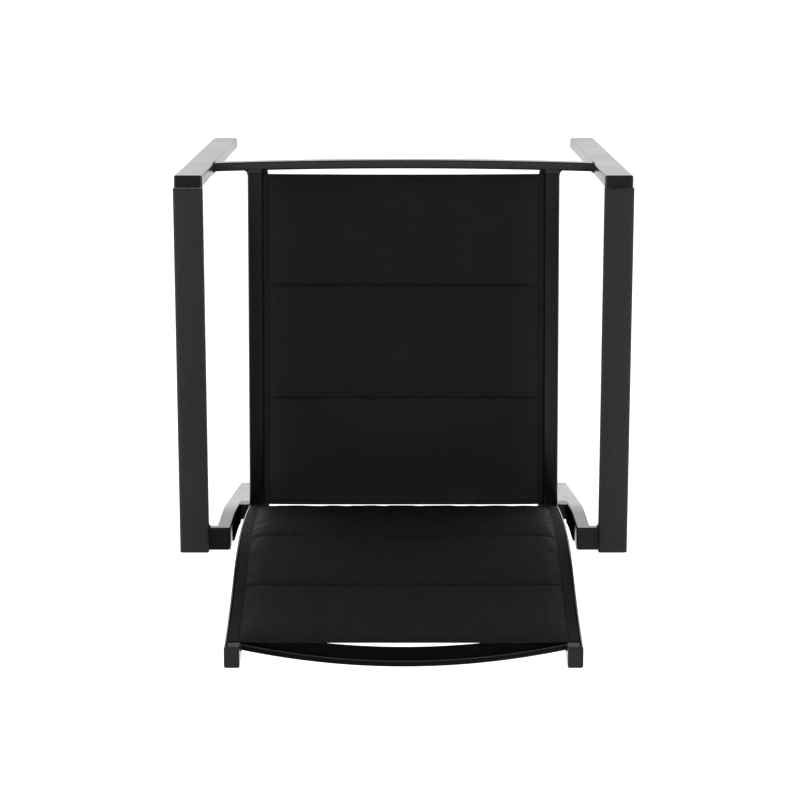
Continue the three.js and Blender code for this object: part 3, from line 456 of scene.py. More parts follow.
# %% Carrying an outline through stations
CORNER_STEPS = 5
MITRE_ANGLE = math.radians(25)


def outline(width, height, radius):
    """A bmesh with a rounded rectangle of edges in the XY plane."""
    mesh = bmesh.new()
    bmesh.ops.create_grid(mesh, x_segments=1, y_segments=1, size=0.5)
    bmesh.ops.scale(mesh, vec=(width, height, 1), verts=mesh.verts)
    bmesh.ops.bevel(
        mesh, geom=mesh.verts[:], offset=radius, segments=CORNER_STEPS, profile=0.5,
        affect="VERTICES", material=-1,
    )
    bmesh.ops.delete(mesh, geom=mesh.faces[:], context="FACES_ONLY")
    return mesh


def carry(mesh, spans, place, closed=True):
    """Carries the flat outline in mesh through spans, and closes both ends."""
    ring = mesh.verts[:] + mesh.edges[:]
    bmesh.ops.spin(mesh, geom=ring, axis=(0, 0, 1), dvec=(0, 0, 1), angle=0, steps=spans)
    if closed:
        bmesh.ops.holes_fill(mesh, edges=[e for e in mesh.edges if e.is_boundary])
    for v in mesh.verts:
        v.co = place(v.co.x, v.co.y, round(v.co.z))
    bmesh.ops.recalc_face_normals(mesh, faces=mesh.faces)
    return mesh


def tube(width, height, radius, stations):
    """A tube through stations, each a centre and the directions of the outline's two sides."""

    def place(x, y, k):
        centre, across, up = stations[k]
        return centre + across * x + up * y

    return carry(outline(width, height, radius), len(stations) - 1, place)


def round_off(mesh, corner, reach, radius):
    """Rounds the mitre's edges that lie within reach of a corner line along X or Y."""
    edges = [
        e for e in mesh.edges
        if len(e.link_faces) == 2
        and e.calc_face_angle() > MITRE_ANGLE
        and all(near(v.co, corner) < reach for v in e.verts)
    ]
    bmesh.ops.bevel(
        mesh, geom=edges, offset=radius, segments=CORNER_STEPS, profile=0.5,
        affect="EDGES", material=-1,
    )


def near(point, corner):
    """How far a point is from a corner line, which leaves out one of its coordinates."""
    return math.hypot(*(p - c for p, c in zip(point, corner) if c is not None))


# %% [markdown]
# ## Front legs and arms
# On the real chair the arm tube is mitred to the front leg, welded and ground flush, so the two
# are one piece of metal with a slightly rounded corner. Here the outline goes up the leg,
# through the mitre and back along the arm, and the outer edge of the mitre is bevelled.

# %% Leg and arm in one piece
ACROSS, BACK, UP = Vector((1, 0, 0)), Vector((0, 1, 0)), Vector((0, 0, 1))
TUBE_ROUND = 2.2 * MM
GAP = 0.3 * MM  # left between pieces that are welded on the real chair
ARM_THICKNESS = 15.5 * MM
MITRE_ROUND = 2.4 * MM
leg_low, leg_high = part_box("front_leg_left")
arm_low, arm_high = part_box("arm_tube_left")
leg_x = (leg_low.x + leg_high.x) / 2
leg_width, leg_depth = leg_high.x - leg_low.x, leg_high.y - leg_low.y
arm_slope = (arm_high.z - arm_low.z - ARM_THICKNESS) / (arm_high.y - arm_low.y)
arm_angle = math.atan(arm_slope)
arm_up = Vector((0, math.sin(arm_angle), math.cos(arm_angle)))
arm_back = Vector((0, math.cos(arm_angle), -math.sin(arm_angle)))
corner_top = Vector((leg_x, leg_low.y, arm_high.z))
corner_foot = Vector((
    leg_x, leg_high.y, arm_high.z - ARM_THICKNESS / math.cos(arm_angle) - leg_depth * arm_slope
))
arm_length = (arm_high.y - leg_low.y) / math.cos(arm_angle)
print("arm:", round(arm_length, 4), "m long, falls", round(math.degrees(arm_angle), 2), "degrees")


def on_arm(along, height):
    """A point of the left arm: distance along its top face from the front, and above it."""
    return corner_top + arm_back * along + arm_up * height


leg_and_arm = tube(leg_width, leg_depth, TUBE_ROUND, [
    (Vector((leg_x, (leg_low.y + leg_high.y) / 2, leg_low.z)), ACROSS, BACK),
    ((corner_top + corner_foot) / 2, ACROSS, (corner_foot - corner_top) / leg_depth),
    (on_arm(arm_length, -ARM_THICKNESS / 2), ACROSS, -arm_up),
])
round_off(leg_and_arm, (None, *corner_top.yz), TUBE_ROUND, MITRE_ROUND)
both_sides("leg_and_arm", leg_and_arm, paint, ["front_leg", "arm_tube"], SOFT_EDGE)

# %% [markdown]
# ## Rear legs
# A rear leg is a narrower tube. It rises from the floor leaning forwards and inwards, bends
# upright beside the back, and turns outwards through a mitre to meet the arm. The bend is a
# smooth curve through three points, sampled finely enough to show no corners.

# %% Leg, bend, mitre and stub
REAR_WIDTH, REAR_DEPTH = 18.3 * MM, 29.5 * MM
BEND_HEIGHT, BEND_SPAN = 500 * MM, 45 * MM
REAR_LEAN, REAR_SPLAY = 76.5 * MM / BEND_HEIGHT, 11.1 * MM / BEND_HEIGHT
BEND_STEPS = 14
rear_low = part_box("rear_leg_left")[0]
stub_low, stub_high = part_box("rear_arm_stub_left")
rear_x = rear_low.x + REAR_WIDTH / 2
deeper = math.hypot(1, REAR_LEAN)  # a level cut of the leaning tube is this much deeper


def rear_leg_centre(height):
    below = BEND_HEIGHT - height
    back_by = below * REAR_LEAN + REAR_DEPTH * deeper / 2
    return Vector((rear_x + below * REAR_SPLAY, rear_low.y + back_by, height))


upright = Vector((rear_x, rear_low.y + REAR_DEPTH / 2, 0))
bend_start = rear_leg_centre(BEND_HEIGHT - BEND_SPAN)
bend_middle, bend_end = upright + UP * BEND_HEIGHT, upright + UP * (BEND_HEIGHT + BEND_SPAN)
rear_stations = [(rear_leg_centre(rear_low.z), ACROSS, BACK * deeper)]
for i in range(BEND_STEPS + 1):
    t = i / BEND_STEPS
    at = bend_start * (1 - t) ** 2 + bend_middle * 2 * t * (1 - t) + bend_end * t**2
    way = ((bend_middle - bend_start) * (1 - t) + (bend_end - bend_middle) * t).normalized()
    rear_stations.append((at, ACROSS, Vector((0, way.z, -way.y))))
stub_height = stub_high.z - stub_low.z
squeeze = stub_height / REAR_WIDTH
stub_middle = upright + UP * (stub_high.z - stub_height / 2)
stub_end = Vector((leg_low.x, *stub_middle.yz))
rear_stations += [
    (stub_middle, Vector((1, 0, -squeeze)), BACK),
    (stub_end, Vector((0, 0, -squeeze)), BACK),
]
rear_leg = tube(REAR_WIDTH, REAR_DEPTH, TUBE_ROUND, rear_stations)
round_off(rear_leg, (rear_low.x, None, stub_high.z), TUBE_ROUND, MITRE_ROUND)
both_sides("rear_leg_and_stub", rear_leg, paint, ["rear_leg", "rear_arm_stub"], SOFT_EDGE)

# %% [markdown]
# ## Slings' lines
# The two back rails are bent to one line, and everything on the back follows it. The line is
# read from the CAD rail's front corner and fitted with a smooth polynomial, so that cloth and
# bars can be placed by how far up the rail they are.

# %% The line of the back
BACK_FIT, LINE_STEPS = 10, 2000  # the polynomial's degree, and its samples
FACING = 0.7  # how squarely a face that is picked by its direction looks that way
AT_CORNER = 0.05 * MM


def front_corner_line(node):
    """(z, y) of a back rail's inner front corner, from its foot up."""
    mesh = twin_of(node)
    inner = min(v.co.x for v in mesh.verts)
    found = {
        (round(v.co.z, 6), v.co.y)
        for face in mesh.faces if face.normal.y < -FACING
        for v in face.verts if v.co.x - inner < AT_CORNER
    }
    mesh.free()
    return np.array(sorted(found))


back_line = front_corner_line("back_rail_left")
back_curve = np.polynomial.Polynomial.fit(back_line[:, 0], back_line[:, 1], BACK_FIT)
back_slope = back_curve.deriv()
back_heights = np.linspace(back_line[0, 0], back_line[-1, 0], LINE_STEPS)
steps_up = np.hypot(np.diff(back_heights), np.diff(back_curve(back_heights)))
back_climbs = np.concatenate(([0], np.cumsum(steps_up)))
back_length = back_climbs[-1]
worst = np.abs(back_curve(back_line[:, 0]) - back_line[:, 1]).max()
print("back rail:", round(back_length, 5), "m long, fitted within", round(worst / MM, 3), "mm")


def back_directions(climb):
    """A point of the back's line, the way out of the rails' front faces, and the way up."""
    z = float(np.interp(climb, back_climbs, back_heights))
    slope = float(back_slope(z))
    way = Vector((0, slope, 1)).normalized()
    return Vector((0, float(back_curve(z)), z)), Vector((0, -way.z, way.y)), way


def back_place(x, lift, climb):
    """A point of the back: x across, lift out of the rails' faces, climb up from their feet."""
    at, out, _ = back_directions(climb)
    return at + ACROSS * x + out * lift


# %% [markdown]
# ## Crossbars
# The front bar bows forwards and the top bar bows backwards, so that the sitter's legs and
# back clear them. The rear bar, under the slings, is straight. All three are the same kind of
# tube as the legs, carried through stations across the chair.

# %% Three bars
BAR_ROUND, FRONT_BOW, TOP_BOW, BOW_STEPS = 2 * MM, 4 * MM, 20.5 * MM, 36
TOP_THICKNESS, TOP_HEIGHT, TOP_ROUND = 9.5 * MM, 36 * MM, 2.4 * MM
TOP_DROP, TOP_RECESS, FRONT_BAR_DEPTH = 20 * MM, 5.5 * MM, 11.5 * MM
front_low, front_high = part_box("front_crossbar")
front_height, front_level = front_high.z - front_low.z, (front_low.z + front_high.z) / 2
front_half = leg_low.x


def front_bar_face(x):
    return leg_low.y - FRONT_BOW * (1 - (x / front_half) ** 2)


def bow_shares():
    return [2 * i / BOW_STEPS - 1 for i in range(BOW_STEPS + 1)]


def front_bar_middle(x):
    return Vector((x, front_bar_face(x) + FRONT_BAR_DEPTH / 2, front_level))


front_bar = tube(FRONT_BAR_DEPTH, front_height, BAR_ROUND, [
    (front_bar_middle(share * front_half), BACK, UP) for share in bow_shares()
])
shown_piece("front_bar", front_bar, paint, ["front_crossbar"], SOFT_EDGE)

bar_low, bar_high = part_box("rear_crossbar")
bar_middle = (bar_low + bar_high) / 2
bar_depth, bar_height = bar_high.y - bar_low.y, bar_high.z - bar_low.z
rear_bar_end = rear_leg_centre(bar_middle.z).x - REAR_WIDTH / 2
rear_bar = tube(bar_depth, bar_height, BAR_ROUND, [
    (bar_middle + ACROSS * rear_bar_end * side, BACK, Vector((-side * REAR_SPLAY, 0, 1)))
    for side in (-1, 1)
])
shown_piece("rear_bar", rear_bar, paint, ["rear_crossbar"], SOFT_EDGE)

back_rail_low, back_rail_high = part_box("back_rail_left")
top_half = back_rail_low.x
top_climb = back_length - TOP_DROP - TOP_HEIGHT / 2
top_at, top_out, top_way = back_directions(top_climb)
top_lift = -TOP_RECESS - TOP_THICKNESS / 2
top_middle = top_at + top_out * top_lift
top_bar = tube(TOP_THICKNESS, TOP_HEIGHT, TOP_ROUND, [
    (
        top_middle + ACROSS * share * top_half + BACK * TOP_BOW * (1 - share**2),
        top_out, top_way,
    )
    for share in bow_shares()
])
shown_piece("top_bar", top_bar, paint, ["top_crossbar"], SOFT_EDGE)

# %% [markdown]
# ## Rails and moulded trim
# The rails are extrusions: a box with a small C-shaped channel along it, whose slit holds the
# sling's edge. CAD has their exact section, so they start as copies of it, and so do the
# plugs, caps and foot glides. A narrow bevel gives every edge its highlight.

# %% Softened copies
for side in SIDES:
    for kind, finish, soften in (
        ("seat_rail", paint, FINE_EDGE),
        ("back_rail", paint, FINE_EDGE),
        ("back_rail_cap", trim, 0.45 * MM),
        ("arm_end_plug", trim, 0.5 * MM),
        ("front_foot_glide", trim, 0.5 * MM),
        ("rear_foot_glide", trim, 0.5 * MM),
        ("seat_channel_plug", trim, 0.2 * MM),
    ):
        name = f"{kind}_{side}"
        shown_piece(f"{name}_rounded", twin_of(name), finish, [name], soften)

# %% [markdown]
# ## Arm pads
# Each arm carries a moulded plank with soft upper edges and a barely crowned top. A stretched
# cube is cut crosswise, its top is raised in the middle, and its upper edges are bevelled.

# %% Planks on the arms
PAD_THICKNESS, PAD_CROWN = 8 * MM, 0.7 * MM
PAD_SETBACK, PAD_EDGE, PAD_EDGE_STEPS, PAD_CUTS = 15 * MM, 2.4 * MM, 6, 9
pad_low, pad_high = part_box("arm_pad_left")
pad_width, pad_length = pad_high.x - pad_low.x, arm_length - PAD_SETBACK
pad = bmesh.new()
bmesh.ops.create_cube(pad, size=1)
for axis in (0, 1):
    uncut = [e for e in pad.edges if abs(e.verts[0].co[axis] - e.verts[1].co[axis]) > 0.5]
    bmesh.ops.subdivide_edges(pad, edges=uncut, cuts=PAD_CUTS, use_grid_fill=True)
for v in pad.verts:
    crown = PAD_CROWN * (1 - (2 * v.co.x) ** 2) if v.co.z > 0 else 0
    height = GAP + (v.co.z + 0.5) * PAD_THICKNESS + crown
    along = PAD_SETBACK + (v.co.y + 0.5) * pad_length
    v.co = on_arm(along, height) + ACROSS * v.co.x * pad_width
upper = [
    e for e in pad.edges
    if len(e.link_faces) == 2 and e.calc_face_angle() > SHARP
    and any(f.normal.z > FACING for f in e.link_faces)
]
bmesh.ops.bevel(
    pad, geom=upper, offset=PAD_EDGE, segments=PAD_EDGE_STEPS, profile=0.5, affect="EDGES",
    material=-1,
)
both_sides("arm_plank", pad, plank, ["arm_pad"], SOFT_EDGE)

# %% [markdown]
# ## Screws under the arms
# Three pan-head screws hold each plank. Their heads sit inside the arm tube, where an open
# hole below lets the driver in, and each head has a six-sided recess.

# %% Zinc screws
RECESS_WALL, RECESS_DEPTH, SCREW_EDGE = 1.6 * MM, 1.4 * MM, 0.15 * MM
for side in SIDES:
    for number in (1, 2, 3):
        node = f"arm_pad_screw_{number}_{side}"
        screw = twin_of(node)
        head = min(screw.faces, key=lambda f: f.calc_center_median().dot(arm_up))
        bmesh.ops.inset_region(screw, faces=[head], thickness=RECESS_WALL)
        sunk = bmesh.ops.extrude_face_region(screw, geom=[head])["geom"]
        walls = [g for g in sunk if isinstance(g, bmesh.types.BMVert)]
        bmesh.ops.translate(screw, vec=arm_up * RECESS_DEPTH, verts=walls)
        bmesh.ops.delete(screw, geom=[head], context="FACES_ONLY")
        shown_piece(f"zinc_screw_{number}_{side}", screw, zinc, [node], SCREW_EDGE)

# %% [markdown]
# ## Welds
# Where a bar meets a leg or a rail, the joint has a concave weld that was ground smooth before
# painting, and round the rest of the joint a rippled bead. The concave weld is a triangle whose
# long side is curved inwards. A bead is a small circle carried along the joint, whose radius
# swells with each pool of metal.

# %% Ground welds in the corners
WELD_ROOT = 0.7 * MM
FILLET_STEPS = 8


def fillet(corner, along, out, rise):
    """A concave weld in a corner. along and out are its two legs, and rise is its length."""
    mesh = bmesh.new()
    ends = [mesh.verts.new(p) for p in ((0, 0, 0), (1, 0, 0), (0, 1, 0))]
    edges = [mesh.edges.new((ends[i], ends[(i + 1) % 3])) for i in range(3)]
    bmesh.ops.subdivide_edges(mesh, edges=[edges[1]], cuts=FILLET_STEPS)
    root = corner - out.normalized() * WELD_ROOT

    def place(x, y, k):
        if x > 0 and y > 0:  # on the long side, where x is 1 - y
            x, y = (1 - y) ** 2, y**2
        return root + along * x + out * y + rise * k

    return carry(mesh, 1, place)


LEG_WELD, RAIL_WELD = 10 * MM, 8 * MM
STUB_WELD, TOP_WELD = (7 * MM, 5 * MM), (5 * MM, 4 * MM)
LEG_TO_RAIL = 44.7 * MM
SEAT_HALF = leg_low.x - LEG_TO_RAIL  # the outer face of a seat rail, at the front bar
bar_rise = UP * (front_height - 2 * BAR_ROUND)


def behind_front_bar(x, width, depth):
    corner = Vector((x, front_bar_face(x) + FRONT_BAR_DEPTH, front_low.z + BAR_ROUND))
    return fillet(corner, ACROSS * width, BACK * depth, bar_rise)


top_rise = top_way * (TOP_HEIGHT - 2 * TOP_ROUND)
top_foot = top_middle - top_out * TOP_THICKNESS / 2 + ACROSS * top_half - top_rise / 2
top_along = Vector((-1, 2 * TOP_BOW / top_half, 0)) * TOP_WELD[0]
stub_foot = Vector((leg_low.x, rear_low.y, stub_low.z + TUBE_ROUND))
stub_rise = UP * (stub_height - 2 * TUBE_ROUND)
ground_welds = {
    "leg_weld": behind_front_bar(front_half, -LEG_WELD, leg_depth - FRONT_BAR_DEPTH),
    "rail_weld": behind_front_bar(SEAT_HALF, RAIL_WELD, RAIL_WELD),
    "stub_weld": fillet(stub_foot, ACROSS * -STUB_WELD[0], BACK * -STUB_WELD[1], stub_rise),
    "top_weld": fillet(top_foot, top_along, top_out * -TOP_WELD[1], top_rise),
}
for name, mesh in ground_welds.items():
    both_sides(name, mesh, paint)

# %% [markdown]
# Round the rest of a joint the bead shows as it was laid, pool after pool. Its stations stand
# a quarter of a pool apart. It turns smoothly at a joint's corners, because each ring faces the
# way that leads from two stations before it to two stations after.

# %% Rippled beads
BEAD, TOP_BEAD = 1.2 * MM, 0.9 * MM
BEAD_SIDES, BEAD_RINGS, POOL, BETWEEN_POOLS = 8, 4, 1.6 * MM, 0.78
BACK_RAIL_DEPTH, RAIL_WIDTH, RAIL_HALF_HEIGHT = 25 * MM, 18.4 * MM, 12 * MM


def bead(corners, radius=BEAD, looped=True):
    """A rippled bead along a line of corners, which is closed when it goes round a tube."""
    points = corners + corners[:1] if looped else corners
    stations = []
    for start, end in zip(points, points[1:]):
        count = max(2, round((end - start).length * BEAD_RINGS / POOL))
        stations += [start.lerp(end, i / count) for i in range(count)]
    stations.append(points[-1])
    mesh = bmesh.new()
    bmesh.ops.create_circle(mesh, segments=BEAD_SIDES, radius=1)

    def place(x, y, k):
        ahead = stations[min(k + 2, len(stations) - 1)] - stations[max(k - 2, 0)]
        way = ahead.normalized()
        side = way.orthogonal().normalized()
        swell = abs(math.sin(math.pi * k / BEAD_RINGS))
        pool = BETWEEN_POOLS + (1 - BETWEEN_POOLS) * swell
        return stations[k] + (side * x + way.cross(side) * y) * radius * pool

    return carry(mesh, len(stations) - 1, place)


def frame_of(centre, across, up):
    """The four corners of a joint, in order."""
    return [centre + across * a + up * b for a, b in ((-1, -1), (1, -1), (1, 1), (-1, 1))]


rail_low, rail_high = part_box("seat_rail_left")
rail_rear = Vector((rail_high.x - RAIL_WIDTH / 2, bar_low.y, bar_middle.z))
foot_at, foot_out, _ = back_directions(0)
foot_middle = foot_at - foot_out * BACK_RAIL_DEPTH / 2
foot_middle += ACROSS * (back_rail_low.x + back_rail_high.x) / 2
foot_half = ACROSS * (back_rail_high.x - back_rail_low.x) / 2
stub_joint = frame_of(stub_end, BACK * REAR_DEPTH / 2, UP * stub_height / 2)
beads = {
    "front_bar_bead": bead(frame_of(
        front_bar_middle(front_half), BACK * FRONT_BAR_DEPTH / 2, UP * front_height / 2,
    )),
    "rear_bar_bead": bead(frame_of(
        bar_middle + ACROSS * rear_bar_end, BACK * bar_depth / 2, UP * bar_height / 2,
    )),
    "seat_rail_bead": bead(frame_of(rail_rear, ACROSS * RAIL_WIDTH / 2, UP * RAIL_HALF_HEIGHT)),
    "back_rail_bead": bead(frame_of(foot_middle, foot_half, foot_out * BACK_RAIL_DEPTH / 2)),
    "top_bar_bead": bead(frame_of(
        top_middle + ACROSS * top_half, top_out * TOP_THICKNESS / 2, top_way * TOP_HEIGHT / 2,
    ), TOP_BEAD),
    "stub_bead": bead(stub_joint[3:] + stub_joint[:3], looped=False),
}
for name, mesh in beads.items():
    both_sides(name, mesh, paint)

# %% [markdown]
# ## Spacers and strips
# A short tube fills the space between the rear leg and the seat rail, flush with the leg's
# front. On the leg's inner side, a matt black strip, shaped like a bumper for stacking, is a
# dark piece that stands in for the shade on that face. It is carried through the leg's own
# stations, set inwards, so that it follows the bend.

# %% Beside the rear legs
SPACER_DEPTH = 11 * MM
STRIP, STRIP_ROUND, STRIP_DEPTH, STRIP_TOP = 2 * MM, 0.7 * MM, 25 * MM, 580 * MM
STRIP_START = bar_high.z + 3 * MM
spacer_middle = rear_leg_centre(bar_middle.z).y - (REAR_DEPTH * deeper - SPACER_DEPTH) / 2
spacer = tube(SPACER_DEPTH, bar_height, BAR_ROUND, [
    (Vector((x, spacer_middle, bar_middle.z)), BACK, UP)
    for x in (rail_high.x + GAP, rear_bar_end - GAP)
])
both_sides("rail_spacer", spacer, paint, soften=SOFT_EDGE)

strip_line = [(rear_leg_centre(STRIP_START), BACK), *(s[::2] for s in rear_stations[1:-2])]
strip_line.append((upright + UP * STRIP_TOP, BACK))
inwards = ACROSS * -(REAR_WIDTH + STRIP) / 2
strip_line = [(at + inwards, ACROSS, up) for at, up in strip_line]
# A dark strip that stands in for the shade on the leg's inner face.
strip = tube(STRIP, STRIP_DEPTH, STRIP_ROUND, strip_line)
both_sides("inner_face_shade_strip", strip, shade_strip_finish)

# %% [markdown]
# ## Front ends of the seat rails
# The weld between the front bar and the rail was ground flat on top, which a thin flat tube
# stands for. The front end of the rail's channel is closed by a black moulded cap, a stretched
# cube with one slanted corner.

# %% Ground joints
JOINT_REACH, JOINT_THICKNESS, JOINT_ROUND = 6.5 * MM, 1.8 * MM, 0.8 * MM
JOINT_SETBACK, JOINT_SUNK = 0.6 * MM, 0.1 * MM
slit_outer = SEAT_HALF - RAIL_WIDTH
joint_y = front_bar_face(SEAT_HALF) + FRONT_BAR_DEPTH + JOINT_SETBACK
joint_z = front_high.z - JOINT_THICKNESS / 2 - JOINT_SUNK
joint = tube(JOINT_REACH, JOINT_THICKNESS, JOINT_ROUND, [
    (Vector((x, joint_y, joint_z)), BACK, UP) for x in (slit_outer, SEAT_HALF - BAR_ROUND)
])
both_sides("ground_joint", joint, paint, soften=FINE_EDGE)

# %% Caps of the channels
RAIL_WALL, CHAMBER = 1.5 * MM, 6.8 * MM
CAP_WALL, CAP_REACH, CAP_HEIGHT, CAP_SLANT = 0.9 * MM, 3.6 * MM, 8 * MM, 2.4 * MM
CAP_CLEARANCE, CAP_PROUD = 1.6 * MM, 0.4 * MM
cap_inner = slit_outer - CHAMBER - RAIL_WALL - CAP_WALL
cap_width = slit_outer - CAP_CLEARANCE - cap_inner
plug_low, plug_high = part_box("seat_channel_plug_left")
cap = bmesh.new()
bmesh.ops.create_cube(cap, size=1)
bmesh.ops.scale(cap, vec=(cap_width, CAP_REACH, CAP_HEIGHT), verts=cap.verts)
slanted = [e for e in cap.edges if all(v.co.x < 0 and v.co.y < 0 for v in e.verts)]
bmesh.ops.bevel(
    cap, geom=slanted, offset=CAP_SLANT, segments=1, profile=0.5, affect="EDGES", material=-1,
)
bmesh.ops.translate(cap, verts=cap.verts, vec=(
    cap_inner + cap_width / 2, plug_low.y - CAP_PROUD + CAP_REACH / 2,
    plug_high.z - CAP_HEIGHT / 2 + CAP_WALL,
))
both_sides("channel_end_cap", cap, black_trim, soften=0.35 * MM)

# %% [markdown]
# ## The slings
# Each sling is two layers of woven mesh with foam between them, sewn through along its sides
# and across, so that it is quilted in three panels. Its side edges go down through the slits in
# the rails and are looped round plastic rods, which can't be pulled out again. A sling is
# followed here by how far up or back it is, how far across, and how high above the rails.

# %% Where the slings lie
CLOTH = 0.8 * MM
BACK_SLIT_INSET = 2.6 * MM
BACK_LOWER_SLOT, BACK_UPPER_SLOT = 26.8 * MM, 12.6 * MM
SEAT_PAD_INSET, BACK_PAD_INSET = 27.4 * MM, 16.2 * MM
SEAT_SEAMS, BACK_SEAMS = (0, 0.323, 0.674, 1), (0, 0.432, 0.721, 1)
seat_rail = twin_of("seat_rail_left")
top_face = max((f for f in seat_rail.faces if f.normal.z > FACING), key=lambda f: f.calc_area())
seat_front = min((v.co.copy() for v in top_face.verts), key=lambda p: p.y)
seat_rear = max((v.co.copy() for v in top_face.verts), key=lambda p: p.y)
seat_rail.free()
seat_slope = (seat_front.z - seat_rear.z) / (seat_rear.y - seat_front.y)
print("seat falls", round(math.degrees(math.atan(seat_slope)), 2), "degrees to the rear")


def seat_place(x, lift, run):
    """A point of the seat: x across at its front, lift above the rails, run as Y."""
    share = (run - rail_low.y) / (rail_high.y - rail_low.y)
    reach = max(-1, min(1, x / (SEAT_HALF - SEAT_PAD_INSET)))
    moved = x + (rail_high.x - SEAT_HALF) * share * reach
    return Vector((moved, run, seat_front.z - (run - seat_front.y) * seat_slope + lift))


# %% [markdown]
# The mesh is a grid whose rows and columns crowd together beside the seams, where the cloth
# turns down sharply. Its two layers are bridged round their edge. Between seams the foam lifts
# the cloth in a flat-topped swell. Beside a seam the thread gathers the cloth, which makes
# short puckers across it, and on the plain margins the tension makes faint ripples.

# %% Rows, columns and the lift of the cloth
HEM, EDGE_DRAW = 6.5 * MM, 0.8 * MM
SEAT_SLACK, BACK_SLACK = 0.6 * MM, 2.4 * MM
SEAT_RISE, BACK_RISE, DROP = 5.4 * MM, 5 * MM, 2.2 * MM
# How gradually these end at a seam, at the sides and at a hem.
SHOULDER, SIDE_SHOULDER, HEM_SHOULDER, PUCKER = 2.2 * MM, 7 * MM, 14 * MM, 4.5 * MM
CAUGHT = 0.4  # how thick the foam stays where a seam crosses it
BESIDE_SEAM = [0.8, 1.8, 3.2, 5.4, 8.6]
BESIDE_SIDE = [0.8, 1.8, 3.4, 6, 9.5]
HEM_ROWS = (0, 0.7 * MM, 3 * MM, HEM - 0.8 * MM)
ROW_STEP, COLUMN_STEP = 5.8 * MM, 4.4 * MM
MARGIN_STEPS, TURN_START = 5, 4.2 * MM
HAIR = 1e-6  # two places nearer than this are the same
# Lifts of the lower and of the upper cloth: at the free edge, on the hem, and on its seam.
EDGE_LIFT, HEM_LIFT = (0.2 * MM, 0.75 * MM), (-0.8 * MM, 0.45 * MM)
HEM_SEAM_LIFT = (-0.4 * MM, 0.2 * MM)
HEM_FADE = 4 * MM  # the hem lies plain on the margins, and reaches its lift this far inside
# Heights of the small unevennesses, and how near a seam the thread sinks the cloth unevenly.
SEAM_PUCKERS, SIDE_PUCKERS, TAUT_RIPPLES = 1.1 * MM, 0.45 * MM, 0.4 * MM
UNEVEN, SUNK, SUNK_WITHIN = 0.4 * MM, 0.9 * MM, 1.5 * MM
PUCKERS_BELOW = 0.4  # how strong the puckers are on the lower cloth
# Offsets towards the chair's middle from the slit, and lifts, where the cloth turns down.
UPPER_TURN = [(3.4, 1.1), (2.4, 0.95), (1.7, 0.55), (1.2, 0.0), (0.75, -1.5), (0.7, -4.9)]
LOWER_TURN = [(3.5, 0.3), (2.7, 0.3), (2.1, 0.15), (1.7, -0.3), (1.48, -1.5), (1.46, -4.9)]
TURNS = len(UPPER_TURN)


def crowded(start, end, beside, step):
    """Places from one seam to the next: close together beside both, and even between them."""
    first = [start + d * MM for d in beside]
    last = [end - d * MM for d in reversed(beside)]
    count = round((last[0] - first[-1]) / step)
    return [*first, *np.linspace(first[-1], last[0], count + 1)[1:-1], *last]


def ripple(x, run, scale, seed):
    """Smooth noise from -1 to 1, with scale patches to a metre."""
    return noise.noise(Vector((x * scale, run * scale, seed)))


